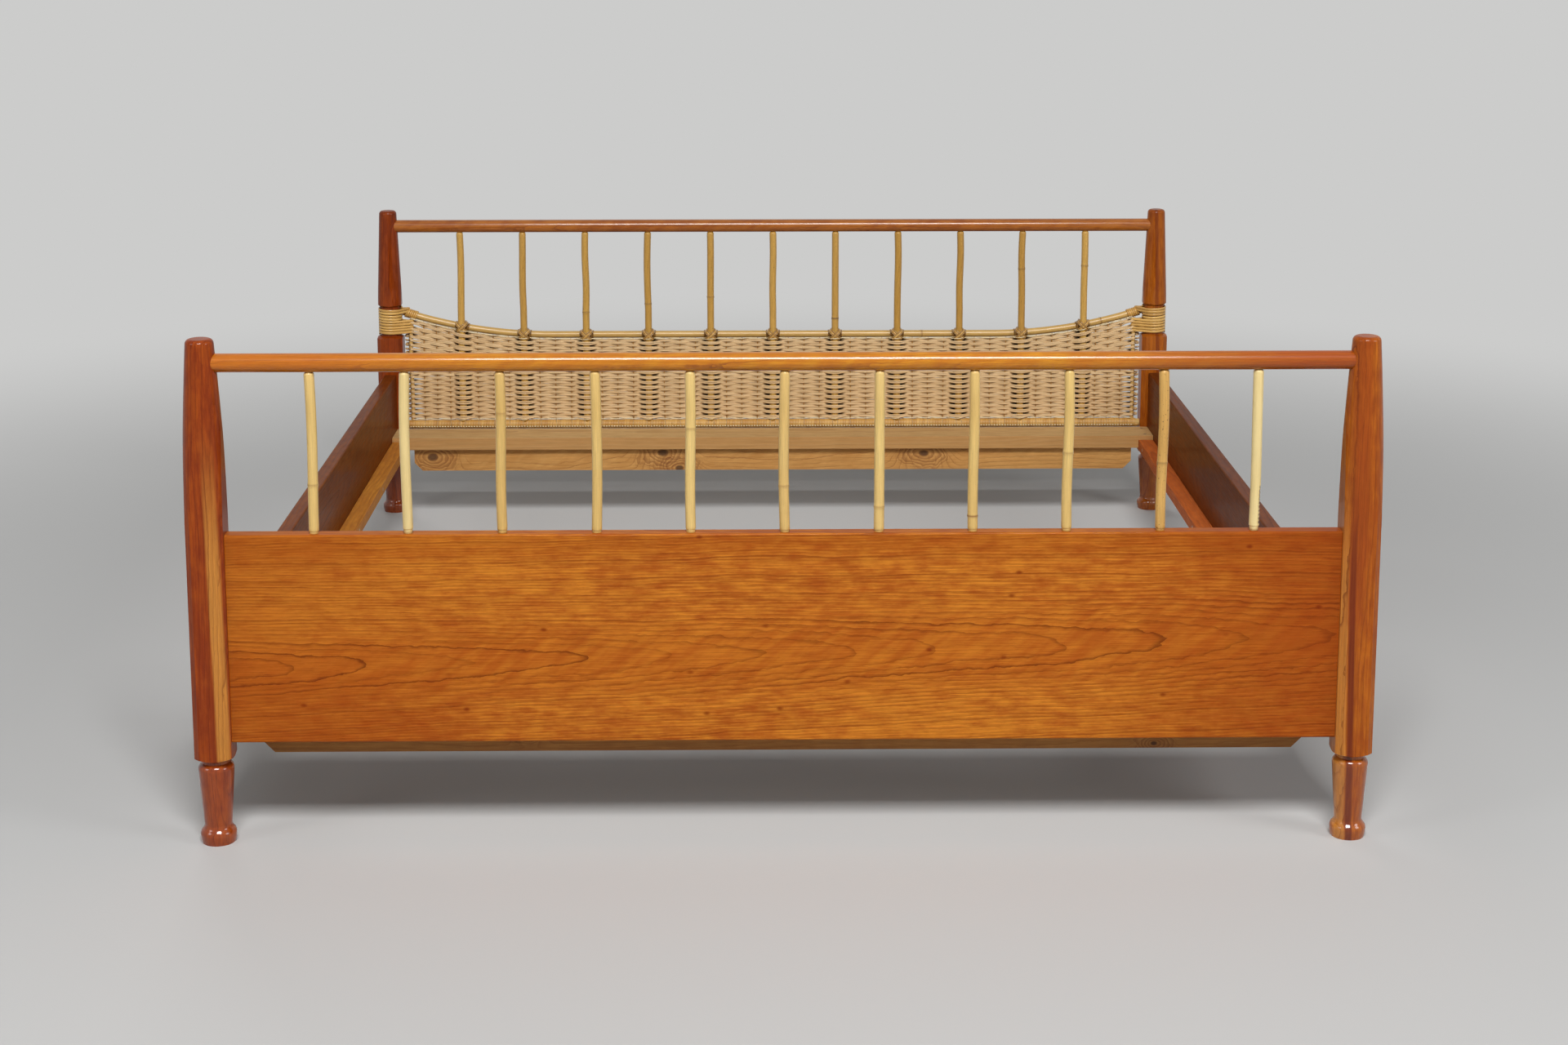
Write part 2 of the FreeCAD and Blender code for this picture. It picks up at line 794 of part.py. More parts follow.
def neck_bindings():
    spare = neck_height - 2 * neck_cane_radius - 2 * wind_gap
    pitch = spare / (neck_cane_half_turns / 2)
    coil_radius = neck_cane_outer - neck_cane_radius
    low = neck_bottom + neck_cane_radius + wind_gap
    wound = []
    for _, side in sides:
        start = (side * post_x, post_y, low)
        tube, gap = winding(start, (0, 0, 1), coil_radius, neck_cane_radius, pitch, neck_cane_half_turns)
        print("neck binding least gap %.2f" % gap)
        wound.append(tube)
    return wound


def crest_bindings():
    coil_radius = crest_radius + crest_cane_radius + wind_gap
    half_turns = crest_cane_half_turns
    length = crest_cane_pitch * half_turns / 2
    outer_x = crest_end_x - crest_cane_inset
    middle_turn = crest_turn(outer_x - length / 2)
    middle_x = crest_flat_half + crest_bend * math.sin(middle_turn)
    wound = []
    for _, side in sides:
        axis = Vector(side * math.cos(middle_turn), 0, math.sin(middle_turn))
        middle = Vector(side * middle_x, crest_y, crest_z(middle_x))
        start = middle - axis * (length / 2)
        tube, gap = winding(start, axis, coil_radius, crest_cane_radius, crest_cane_pitch, half_turns)
        print("crest binding least gap %.2f" % gap)
        wound.append(tube)
    return wound


def make_cane_end():
    save("crest_rail", crest_rail(0))
    save("crest_lashings", lashings())
    save("crest_bindings", crest_bindings())
    save("neck_bindings", neck_bindings())
    save("cane_weave", cane_weave())
    save("thin_stakes", [thin_stake(x, 0) for x in thin_stake_xs()])
    for name, side in sides:
        save("side_stake_" + name, side_stake(side))
    save("bottom_bar", cut(bottom_bar(0), stake_bores(bar_height - fit)))
    save("bottom_bar_wrap", bar_wrapping())


os.makedirs("parts", exist_ok=True)
make_posts()
save("foot_top_rail", top_rail(foot_rail_height, -post_y))
save("head_top_rail", top_rail(head_rail_height, post_y))
make_spindles()
save("foot_panel", foot_panel())
make_sides()
make_cane_end()
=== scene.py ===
import functools
import math
import random

import bpy
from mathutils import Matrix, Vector


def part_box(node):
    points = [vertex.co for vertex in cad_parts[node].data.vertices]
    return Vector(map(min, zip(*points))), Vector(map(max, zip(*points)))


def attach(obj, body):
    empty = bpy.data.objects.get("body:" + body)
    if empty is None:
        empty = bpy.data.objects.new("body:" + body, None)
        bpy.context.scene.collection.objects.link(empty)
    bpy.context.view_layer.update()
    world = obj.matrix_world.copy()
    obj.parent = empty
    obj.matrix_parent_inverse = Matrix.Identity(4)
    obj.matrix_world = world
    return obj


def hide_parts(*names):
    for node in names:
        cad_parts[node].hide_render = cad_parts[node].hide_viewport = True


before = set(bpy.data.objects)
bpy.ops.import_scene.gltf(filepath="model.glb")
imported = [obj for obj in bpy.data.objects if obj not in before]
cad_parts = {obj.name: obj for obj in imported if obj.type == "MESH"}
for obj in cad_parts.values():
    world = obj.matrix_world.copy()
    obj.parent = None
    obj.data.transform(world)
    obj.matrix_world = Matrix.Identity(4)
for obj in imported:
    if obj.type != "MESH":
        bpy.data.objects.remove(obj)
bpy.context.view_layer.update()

print("frame loaded,", len(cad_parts), "nodes")


# colours and shader nodes

def tint(red, green, blue):  # a display colour, 0 to 255, as a linear colour
    def linear(level):
        level /= 255
        return level / 12.92 if level <= 0.04045 else ((level + 0.055) / 1.055) ** 2.4
    return (linear(red), linear(green), linear(blue), 1.0)


def feed(tree, node, inputs):  # links sockets and sets plain values
    for key, value in inputs.items():
        if isinstance(value, bpy.types.NodeSocket):
            tree.links.new(value, node.inputs[key])
        else:
            node.inputs[key].default_value = value


def addNode(tree, kind, inputs=None, **settings):  # gives the new node's outputs
    made = tree.nodes.new("ShaderNode" + kind)
    for key, value in settings.items():
        setattr(made, key, value)
    feed(tree, made, inputs or {})
    return made.outputs


def calc(tree, operation, first, second=0.0):
    return addNode(tree, "Math", {0: first, 1: second}, operation=operation)[0]


def mathFor(tree):  # plus, minus, times and over for two or more values
    def folded(operation):
        return lambda first, *rest: functools.reduce(lambda a, b: calc(tree, operation, a, b), rest, first)
    return [folded(operation) for operation in ("ADD", "SUBTRACT", "MULTIPLY", "DIVIDE")]


def spread(tree, value, low, high, toLow=0.0, toHigh=1.0):  # a soft step between two levels
    inputs = {"Value": value, "From Min": low, "From Max": high, "To Min": toLow, "To Max": toHigh}
    return addNode(tree, "MapRange", inputs, interpolation_type="SMOOTHSTEP")[0]


def blendTint(tree, factor, first, second, how="MIX"):
    inputs = {0: factor, 6: first, 7: second}
    return addNode(tree, "Mix", inputs, data_type="RGBA", blend_type=how)[2]


def noiseAt(tree, vector, detail=2.0, roughness=0.5):
    inputs = {"Vector": vector, "Scale": 1.0, "Detail": detail, "Roughness": roughness}
    return addNode(tree, "TexNoise", inputs)


def streaked(tree, colour, fibre, depth):  # lighter and darker lines along the fibres
    streak = spread(tree, fibre, 0.3, 0.7, 1 - depth, 1 + depth)
    grey = addNode(tree, "CombineColor", {0: streak, 1: streak, 2: streak})[0]
    return blendTint(tree, 1.0, colour, grey, "MULTIPLY")


def newGroup(name, inputs, outputs):  # an input without a default is a vector
    tree = bpy.data.node_groups.new(name, "ShaderNodeTree")
    for label, value in inputs.items():
        kind = "NodeSocketVector" if value is None else "NodeSocketFloat"
        socket = tree.interface.new_socket(label, in_out="INPUT", socket_type=kind)
        if value is not None:
            socket.default_value = value
    for label in outputs:
        tree.interface.new_socket(label, in_out="OUTPUT", socket_type="NodeSocketFloat")
    return tree, tree.nodes.new("NodeGroupInput").outputs, tree.nodes.new("NodeGroupOutput")


def useGroup(tree, group, inputs):
    return addNode(tree, "Group", inputs, node_tree=group)


def newMaterial(name):
    material = bpy.data.materials.new(name)
    material.use_nodes = True
    return material, material.node_tree, material.node_tree.nodes["Principled BSDF"]


figureLook = {
    "slow": (1.4, 2.4, 2.0),  # noises: how fine along and across the grain, and their detail
    "ripple": (6, 20, 2.0),
    "jag": (42, 80, 3.0),
    "wanderReach": 2.4,
    "jagAlong": 0.02,
    "jagHeight": 0.012,
    "rippleDepth": 0.005,
    "rippleHeight": 0.011,
    "level": (0.72, 0.97),  # the figure opens where the rings lie this level with the face
    "closedLines": 0.62,  # strength of the ring lines where it stays closed
    "slant": (0.8, 0.6),  # cosine and sine of the slanting curl's angle
    "gumSize": (0.01, 0.065),
    "gumShare": (0.5, 0.9),
}


def makeWoodFigure():  # growth rings cut by the surface, with fibre, pores, curl and gum; grain runs along X
    look = figureLook
    tree, given, made = newGroup("woodFigure", {
        "Vector": None,
        "Pith Depth": 0.06,
        "Pith Height": 0.0,
        "Sink": 0.0,
        "Climb": 0.0,
        "Ring Width": 0.005,
        "Line Width": 0.0012,
        "Wander": 0.03,
        "Bulge": 0.0,
        "Seed": 0.0,
    }, ["Rings", "Band", "Fibre", "Fleck", "Curl", "Slow", "Gum"])
    plus, minus, times, over = mathFor(tree)
    seeds = addNode(tree, "CombineXYZ", {axis: given["Seed"] for axis in range(3)})[0]
    along, inward, upward = addNode(tree, "SeparateXYZ", {0: given["Vector"]})

    def stretched(fineAlong, fineAcross, vector=given["Vector"]):
        inputs = {"Vector": vector, "Location": seeds, "Scale": (fineAlong, fineAcross, fineAcross)}
        return addNode(tree, "Mapping", inputs)[0]

    def colourNoise(fineAlong, fineAcross, detail):
        noise = noiseAt(tree, stretched(fineAlong, fineAcross), detail)[1]
        return addNode(tree, "SeparateColor", {0: noise})

    def centred(value, reach):  # noise about zero, times a reach
        return times(minus(value, 0.5), reach)

    def distance(first, second):
        return calc(tree, "SQRT", plus(times(first, first), times(second, second)))

    slow, ripple, jag = [colourNoise(*look[kind]) for kind in ("slow", "ripple", "jag")]
    wide = times(given["Wander"], look["wanderReach"])
    jagged = plus(along, centred(jag[1], look["jagAlong"]))
    depth = minus(inward, given["Pith Depth"], times(jagged, given["Sink"]))
    depth = plus(depth, centred(slow[0], wide), centred(ripple[1], look["rippleDepth"]))
    height = minus(upward, given["Pith Height"], times(jagged, given["Climb"]))
    height = plus(height, centred(slow[1], wide), centred(ripple[0], look["rippleHeight"]))
    flatness = over(calc(tree, "ABSOLUTE", depth), distance(depth, height))
    opened = spread(tree, flatness, *look["level"])  # where the rings lie almost level with the face
    height = plus(height, times(centred(jag[0], look["jagHeight"]), plus(times(opened, 0.8), 0.2)))
    radius = distance(depth, height)
    slope = over(height, radius)
    steepness = calc(tree, "SQRT", plus(times(slope, slope), 0.01))
    phase = over(plus(radius, given["Bulge"]), given["Ring Width"])
    ring = calc(tree, "FRACT", phase)
    lineShare = over(times(given["Line Width"], steepness), given["Ring Width"])
    late = spread(tree, over(minus(1.0, ring), lineShare), 0.0, 1.0, 1.0, 0.0)
    band = times(spread(tree, ring, 0.0, 0.9), spread(tree, ring, 0.92, 1.0, 1.0, 0.0))
    number = plus(calc(tree, "FLOOR", phase), given["Seed"])
    strength = addNode(tree, "TexWhiteNoise", {"W": number}, noise_dimensions="1D")["Value"]
    strength = plus(times(calc(tree, "POWER", strength, 1.3), 0.65), 0.35)
    pores = noiseAt(tree, stretched(75, 900), 2)[0]

    straight = noiseAt(tree, stretched(26, 60), 3.0, 0.6)[0]
    cosine, sine = look["slant"]
    lean = plus(times(along, cosine), times(upward, sine))
    rise = plus(times(upward, cosine), times(along, -sine))
    slanting = addNode(tree, "CombineXYZ", {0: lean, 1: inward, 2: rise})[0]
    slanting = noiseAt(tree, stretched(15, 58, slanting), 2.0, 0.5)[0]
    flat = addNode(tree, "CombineXYZ", {0: along, 1: upward})[0]
    inputs = {"Vector": stretched(8, 13, flat), "Scale": 1.0}
    cells = addNode(tree, "TexVoronoi", inputs, voronoi_dimensions="2D")
    chosen = addNode(tree, "SeparateColor", {0: cells["Color"]})[0]
    spots = spread(tree, cells["Distance"], *look["gumSize"], 1.0, 0.0)
    feed(tree, made, {
        "Rings": times(late, strength, spread(tree, opened, 0.0, 1.0, look["closedLines"], 1.0)),
        "Band": times(band, strength),
        "Fibre": noiseAt(tree, stretched(14, 420), 4, 0.62)[0],
        "Fleck": spread(tree, pores, 0.58, 0.7),
        "Curl": plus(straight, times(minus(slanting, straight), opened)),
        "Slow": slow[2],
        "Gum": times(spots, spread(tree, chosen, *look["gumShare"])),
    })
    return tree


def makeCaneFibre():  # long fibres and small specks on a strand; the vector is length, turn and nothing
    inputs = {"Vector": None, "Turn Scale": 20.0, "Seed": 0.0}
    tree, given, made = newGroup("caneFibre", inputs, ["Fibre", "Speck", "Drift"])
    plus, _, times, _ = mathFor(tree)
    place = addNode(tree, "SeparateXYZ", {0: given["Vector"]})

    def strandNoise(along, around, detail, roughness=0.5):
        turn = times(place[1], given["Turn Scale"], around)
        length = plus(times(place[0], along), given["Seed"])
        vector = addNode(tree, "CombineXYZ", {0: length, 1: turn, 2: given["Seed"]})[0]
        return noiseAt(tree, vector, detail, roughness)[0]

    feed(tree, made, {
        "Fibre": strandNoise(22, 1.0, 3, 0.6),
        "Speck": spread(tree, strandNoise(260, 0.6, 2), 0.63, 0.75),
        "Drift": strandNoise(9, 0.12, 2),
    })
    return tree


woodFigure = makeWoodFigure()
caneFibre = makeCaneFibre()
print("shader groups built")


# materials

grainOrder = {"x": (0, 1, 2), "y": (1, 0, 2), "z": (2, 0, 1)}  # which axes become length, depth and height
knotLook = {  # lengths are shares of the knot's size
    "squeeze": 0.45,  # a knot is longer along the grain
    "swellWide": 3.8,
    "swellHigh": 2.4,
    "coarse": 30,
    "core": (0.62, 0.2),
    "ring": 0.45,
    "eye": (2.9, 1.8),
    "eyeDepth": 0.55,
    "coreDepth": 0.85,
}


def knotMasks(tree, place, ordered, knot):  # how the rings swell, the lines that close round it, and the core
    look = knotLook
    plus, minus, times, over = mathFor(tree)
    along, height, size = knot
    reach = calc(tree, "POWER", calc(tree, "ABSOLUTE", minus(ordered[0], along)), 2.0)
    rise = calc(tree, "POWER", calc(tree, "ABSOLUTE", minus(ordered[2], height)), 2.0)
    away = calc(tree, "SQRT", plus(times(reach, look["squeeze"]), rise))
    swell = spread(tree, away, size * look["swellWide"], 0.0, 0.0, size * look["swellHigh"])
    coarse = addNode(tree, "Mapping", {"Vector": place, "Scale": [look["coarse"]] * 3})[0]
    away = times(away, plus(noiseAt(tree, coarse)[0], 0.5))
    step = calc(tree, "FRACT", over(away, size * look["ring"]))
    edge = spread(tree, away, *[size * share for share in look["eye"]])
    core = spread(tree, away, *[size * share for share in look["core"]])
    return swell, times(spread(tree, step, 0.1, 0.9), edge), core


def woodMaterial(name, centre, grain, tones, finish, figure, bands, knots):
    material, tree, shader = newMaterial(name)
    plus, minus, times, _ = mathFor(tree)
    place = addNode(tree, "TexCoord")["Object"]
    place = addNode(tree, "VectorMath", {0: place, 1: centre}, operation="SUBTRACT")[0]
    axes = addNode(tree, "SeparateXYZ", {0: place})
    ordered = [axes[axis] for axis in grainOrder[grain]]
    inputs = {
        "Vector": addNode(tree, "CombineXYZ", dict(enumerate(ordered)))[0],
        "Pith Depth": figure["pith"][0],
        "Pith Height": figure["pith"][1],
        "Sink": figure["sink"],
        "Climb": figure["climb"],
        "Ring Width": figure["ring"],
        "Line Width": figure["line"],
        "Wander": figure["wander"],
        "Seed": figure["seed"],
    }
    masks = [knotMasks(tree, place, ordered, knot) for knot in knots]
    if masks:
        inputs["Bulge"] = plus(*[swell for swell, _, _ in masks])
    made = useGroup(tree, woodFigure, inputs)

    def washed(colour, mask, depth, tone):
        return blendTint(tree, times(mask, depth), colour, tint(*tone))

    def window(value, first, last, firstSoft, lastSoft):  # one between two places, nought outside them
        return times(spread(tree, value, first - firstSoft, first + firstSoft),
                     spread(tree, value, last - lastSoft, last + lastSoft, 1.0, 0.0))

    shade = plus(times(made["Slow"], 0.35), times(made["Curl"], 0.4), times(made["Fibre"], 0.25))
    swing = figure["soft"]  # how far the shade swings before the tone is all dark or all light
    shade = spread(tree, shade, 0.5 - swing, 0.5 + swing)
    colour = blendTint(tree, shade, tint(*tones["dark"]), tint(*tones["light"]))
    for axis, lean, first, last, soft, tone, weight, *span in bands:  # streaks and sapwood along the grain
        wobble = times(minus(made["Slow"], 0.5), soft * 2)
        edge = plus(axes["xyz".index(axis)], times(ordered[0], lean), wobble)
        inside = window(edge, first, last, soft / 2, soft / 2)
        if span:  # it starts sharply at the first place along the grain and fades at the second
            inside = times(inside, window(ordered[0], *span, 0.01, 0.14))
        colour = washed(colour, inside, weight, tone)
    colour = washed(colour, made["Band"], figure["band"], tones["dark"])
    colour = washed(colour, made["Rings"], figure["ringDepth"], tones["line"])
    colour = streaked(tree, colour, made["Fibre"], figure["fibre"])
    colour = washed(colour, made["Fleck"], figure["fleck"], tones["line"])
    colour = washed(colour, made["Gum"], figure["gum"], tones.get("gum", tones["line"]))
    for _, eye, _ in masks:
        colour = washed(colour, eye, knotLook["eyeDepth"], tones["line"])
    for _, _, core in masks:
        colour = washed(colour, core, knotLook["coreDepth"], tones["knot"])

    relief = plus(times(made["Fibre"], 0.6), times(made["Rings"], 0.4))
    bump = {"Height": relief, "Strength": finish["relief"], "Distance": 0.0004}
    feed(tree, shader, {
        "Base Color": colour,
        "Roughness": spread(tree, made["Fibre"], 0.3, 0.7, finish["rough"] - 0.05, finish["rough"] + 0.07),
        "Normal": addNode(tree, "Bump", bump)[0],
        "Coat Weight": finish["coat"],
        "Coat Roughness": finish["coatRough"],
        "Specular IOR Level": finish["specular"],
    })
    if "footTop" in finish:  # the turned foot shines more than the post above it
        level = plus(axes[2], centre.z - finish["footTop"])
        coat = spread(tree, level, -0.002, 0.002, finish["footCoat"], finish["coat"])
        feed(tree, shader, {"Coat Weight": coat})
    return material


def caneMaterial(name, look):
    material, tree, shader = newMaterial(name)
    plus, _, times, _ = mathFor(tree)
    vector = addNode(tree, "UVMap", uv_map="strandUv")[0]
    made = useGroup(tree, caneFibre, {"Vector": vector, "Turn Scale": look["turns"], "Seed": look["seed"]})
    tone = addNode(tree, "Attribute", attribute_name="tone")["Color"]
    # the tone's second channel darkens towards the look's darkest colour: real scars, specks and node rings,
    # and on the woven reed painted shade
    lightness, scarAndShade, ageAndShade = addNode(tree, "SeparateColor", {0: tone})
    shade = spread(tree, plus(times(lightness, 0.6), times(made["Drift"], 0.4)), 0.2, 0.8)
    colour = blendTint(tree, shade, tint(*look["dark"]), tint(*look["light"]))
    colour = blendTint(tree, times(ageAndShade, 0.8), colour, tint(*look["aged"]))
    colour = streaked(tree, colour, made["Fibre"], look["fibre"])
    colour = blendTint(tree, times(made["Speck"], look["speck"]), colour, tint(*look["scarAndShade"]))
    bump = {"Height": made["Fibre"], "Strength": look["relief"], "Distance": 0.0003}
    feed(tree, shader, {
        "Base Color": blendTint(tree, scarAndShade, colour, tint(*look["scarAndShade"])),
        "Roughness": spread(tree, made["Fibre"], 0.3, 0.7, look["rough"] - 0.06, look["rough"] + 0.06),
        "Normal": addNode(tree, "Bump", bump)[0],
        "Coat Weight": look["coat"],
        "Coat Roughness": 0.25,
    })
    return material


def zincMaterial():
    material, tree, shader = newMaterial("zincedSteel")
    place = addNode(tree, "TexCoord")["Object"]
    place = addNode(tree, "Mapping", {"Vector": place, "Scale": (900, 900, 900)})[0]
    spots = noiseAt(tree, place, 3)[0]
    colour = blendTint(tree, spread(tree, spots, 0.3, 0.7), tint(168, 166, 158), tint(196, 192, 180))
    feed(tree, shader, {
        "Base Color": colour,
        "Roughness": spread(tree, spots, 0.3, 0.7, 0.3, 0.45),
        "Metallic": 1.0,
    })
    return material


lacquer = {"rough": 0.36, "coat": 0.08, "coatRough": 0.1, "relief": 0.1, "specular": 0.03}
polished = {"rough": 0.34, "coat": 0.8, "coatRough": 0.15, "relief": 0.08, "specular": 0.06}
rubbed = dict(polished, coat=0.3, coatRough=0.08, footCoat=1.0, footTop=0.142)
planed = {"rough": 0.6, "coat": 0.0, "coatRough": 0.3, "relief": 0.3, "specular": 0.3}
# line is the dark rim of a ring; sink and climb lead the pith deeper and higher along the grain
cherryFigure = {
    "band": 0.25, "ringDepth": 0.85, "line": 0.0034, "fibre": 0.11, "fleck": 0.22, "gum": 0.0, "soft": 0.12,
    "sink": 0.012, "climb": 0.01,
}
pineFigure = {
    "band": 0.5, "ringDepth": 0.6, "line": 0.004, "fibre": 0.08, "fleck": 0.12, "gum": 0.0, "soft": 0.14,
    "sink": 0.01, "climb": 0.01,
}


def cherry(pith, ring, wander, seed, **changes):
    return dict(cherryFigure, pith=pith, ring=ring, wander=wander, seed=seed) | changes


def pine(pith, ring, wander, seed):
    return dict(pineFigure, pith=pith, ring=ring, wander=wander, seed=seed)


# a band is its axis, lean, first and last place, softness, tone, weight and span; a knot is x, z and size
def board(grain, light, dark, line, finish, figure, bands=(), knots=(), **tones):
    tones.update(light=light, dark=dark, line=line)
    return grain, tones, finish, figure, bands, knots


woodPieces = {
    "foot_panel": board(
        "x", (206, 128, 40), (164, 80, 24), (90, 32, 8), lacquer,
        cherry((0.068, -0.026), 0.0045, 0.006, 4.0, sink=0.0285, climb=0.025, line=0.0054, ringDepth=0.8,
               gum=0.7, soft=0.14),
        [("z", -0.025, -0.078, 0.02, 0.05, (160, 78, 18), 0.4),
         ("z", 0.0, 0.14, 0.5, 0.03, (160, 76, 16), 0.35),
         ("x", 0.0, -2.0, -0.62, 0.4, (154, 68, 16), 0.62),
         ("x", 0.0, 0.66, 2.0, 0.4, (146, 62, 14), 0.72)],
        gum=(112, 32, 8)),
    "foot_top_rail": board(
        "x", (198, 131, 26), (184, 109, 16), (136, 68, 14), polished, cherry((0.06, 0.02), 0.005, 0.02, 11.0),
        [("x", 0.0, -2.0, -0.55, 0.4, (178, 90, 10), 0.75),
         ("x", 0.0, 0.56, 2.0, 0.44, (152, 64, 8), 0.95)]),
    "head_top_rail": board(
        "x", (176, 104, 36), (150, 78, 24), (110, 48, 14), polished, cherry((0.06, 0.03), 0.005, 0.02, 23.0)),
    "foot_post_left": board(
        "z", (154, 69, 13), (129, 47, 8), (88, 28, 5), rubbed, cherry((-0.09, 0.05), 0.006, 0.012, 31.0),
        [("x", 0.016, 0.004, 0.024, 0.005, (198, 134, 58), 0.85, -0.274, 0.16)]),
    "foot_post_right": board(
        "z", (176, 96, 20), (150, 70, 14), (106, 42, 8), rubbed, cherry((0.09, 0.04), 0.006, 0.012, 37.0),
        [("x", 0.022, -0.036, -0.021, 0.004, (192, 126, 54), 0.8, -0.6, 0.12),
         ("x", 0.0, -0.02, 0.004, 0.012, (144, 62, 14), 0.7, -0.05, 0.6),
         ("x", 0.022, -0.019, -0.009, 0.004, (108, 40, 12), 0.95, -0.6, 0.14)]),
    "head_post_left": board(
        "z", (148, 64, 13), (124, 47, 8), (86, 28, 5), rubbed, cherry((-0.08, 0.06), 0.006, 0.012, 43.0)),
    "head_post_right": board(
        "z", (172, 94, 22), (144, 68, 14), (98, 38, 8), rubbed, cherry((0.08, 0.05), 0.006, 0.012, 47.0),
        [("x", 0.03, 0.004, 0.012, 0.004, (112, 46, 16), 0.7)]),
    "side_rail_left": board(
        "y", (128, 66, 18), (102, 46, 12), (70, 28, 8), lacquer, cherry((0.05, 0.02), 0.0065, 0.012, 53.0)),
    "side_rail_right": board(
        "y", (120, 60, 18), (94, 42, 12), (66, 26, 8), lacquer, cherry((-0.05, -0.02), 0.0065, 0.012, 59.0)),
    "ledger_left": board(
        "y", (202, 136, 48), (176, 108, 38), (130, 72, 24), planed, pine((0.03, 0.06), 0.0055, 0.02, 61.0)),
    "ledger_right": board(
        "y", (198, 104, 40), (172, 82, 30), (104, 40, 16), planed, pine((-0.012, 0.04), 0.006, 0.03, 67.0)),
    "head_ledge": board(
        "x", (206, 170, 116), (190, 150, 96), (150, 100, 52), planed, pine((0.02, 0.07), 0.007, 0.02, 71.0),
        [("y", 0.0, -1.0, -0.0465, 0.001, (172, 120, 62), 0.75)]),  # the front edge is browner
    "foot_ledge": board(
        "x", (198, 158, 104), (182, 138, 84), (150, 100, 52), planed, pine((-0.02, 0.07), 0.007, 0.02, 73.0)),
    "head_cross_rail": board(
        "x", (200, 150, 84), (180, 126, 64), (112, 58, 24), planed, pine((0.05, 0.03), 0.0065, 0.03, 79.0),
        knots=[(-0.812, 0.006, 0.017), (-0.264, 0.016, 0.018), (-0.225, -0.022, 0.014), (0.36, 0.012, 0.018)],
        knot=(66, 40, 24)),
    # its tones are darker than the head cross rail's: painted shade, as this rail lies in the shade under the
    # foot panel
    "foot_cross_rail": board(
        "x", (176, 124, 62), (156, 102, 46), (112, 62, 26), planed, pine((0.05, 0.03), 0.0065, 0.03, 83.0),
        knots=[(0.61, -0.019, 0.008), (-0.42, 0.004, 0.009)], knot=(58, 34, 20)),
    "bottom_bar": board(
        "x", (216, 182, 112), (196, 156, 88), (160, 116, 60), planed, pine((0.0, 0.0), 0.004, 0.002, 97.0)),
    "panel_dowels": board(
        "x", (214, 180, 130), (196, 156, 104), (170, 126, 80), planed, pine((0.02, 0.0), 0.004, 0.01, 89.0)),
}


def dress(node, material):
    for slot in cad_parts[node].material_slots:
        slot.material = material


for node, piece in woodPieces.items():
    low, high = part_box(node)
    dress(node, woodMaterial(node + "_wood", (low + high) / 2, *piece))
zinc = zincMaterial()
for node in ("rail_hooks", "post_slot_plates", "ledger_screws", "ledge_screws"):
    dress(node, zinc)

glossyPole = {"turns": 26.0, "rough": 0.36, "relief": 0.2, "coat": 0.2}
dullPole = {"turns": 26.0, "rough": 0.4, "relief": 0.3, "coat": 0.15}
dullCane = {"turns": 14.0, "rough": 0.5, "relief": 0.3, "coat": 0.0}
caneLooks = {
    "rattanGold": dict(
        glossyPole, light=(224, 192, 120), dark=(206, 168, 94), aged=(182, 132, 64), scarAndShade=(128, 82, 38),
        seed=1.0, fibre=0.09, speck=0.2),
    "rattanCream": dict(
        glossyPole, light=(232, 212, 154), dark=(222, 196, 132), aged=(204, 168, 98), scarAndShade=(88, 54, 26),
        seed=2.0, fibre=0.05, speck=0.06),
    "rattanSpeckled": dict(
        dullPole, light=(222, 184, 106), dark=(196, 148, 74), aged=(166, 112, 52), scarAndShade=(70, 42, 20),
        seed=3.0, fibre=0.09, speck=1.0),
    "rattanMottled": dict(
        dullPole, light=(213, 169, 85), dark=(184, 138, 57), aged=(158, 110, 43), scarAndShade=(84, 54, 26),
        seed=8.0, fibre=0.13, speck=0.45, turns=22.0),
    # its nearly black darkest colour is mostly painted shadow for strands that pass behind a stake, and also
    # the colour of its few specks
    "wovenReed": dict(
        dullCane, light=(227, 195, 147), dark=(207, 171, 121), aged=(188, 144, 92), scarAndShade=(38, 26, 16),
        seed=4.0, fibre=0.12, speck=0.1, turns=9.0, rough=0.6, relief=0.4),
    "paleStake": dict(
        dullCane, light=(240, 224, 184), dark=(224, 200, 150), aged=(204, 168, 112), scarAndShade=(150, 110, 66),
        seed=5.0, fibre=0.08, speck=0.05, turns=6.0),
    "barCane": dict(
        dullCane, light=(208, 162, 88), dark=(190, 140, 66), aged=(164, 110, 46), scarAndShade=(110, 62, 26),
        seed=7.0, fibre=0.1, speck=0.1),
    "goldenCane": dict(
        dullCane, light=(220, 174, 94), dark=(196, 146, 68), aged=(160, 106, 44), scarAndShade=(84, 46, 20),
        seed=6.0, fibre=0.1, speck=0.12, rough=0.34, coat=0.3),
}
cane = {name: caneMaterial(name, look) for name, look in caneLooks.items()}
print("materials:", len(bpy.data.materials))


# swept strands and poles

backward = Vector((0, 1, 0))  # from the foot to the head


def newBag():
    return {"points": [], "faces": [], "corners": [], "tones": []}


def power(value, degree):
    return math.copysign(abs(value) ** degree, value)


def at(values, i):  # a strand's value is one for its whole length or one for each place
    return values[i] if isinstance(values, list) else values


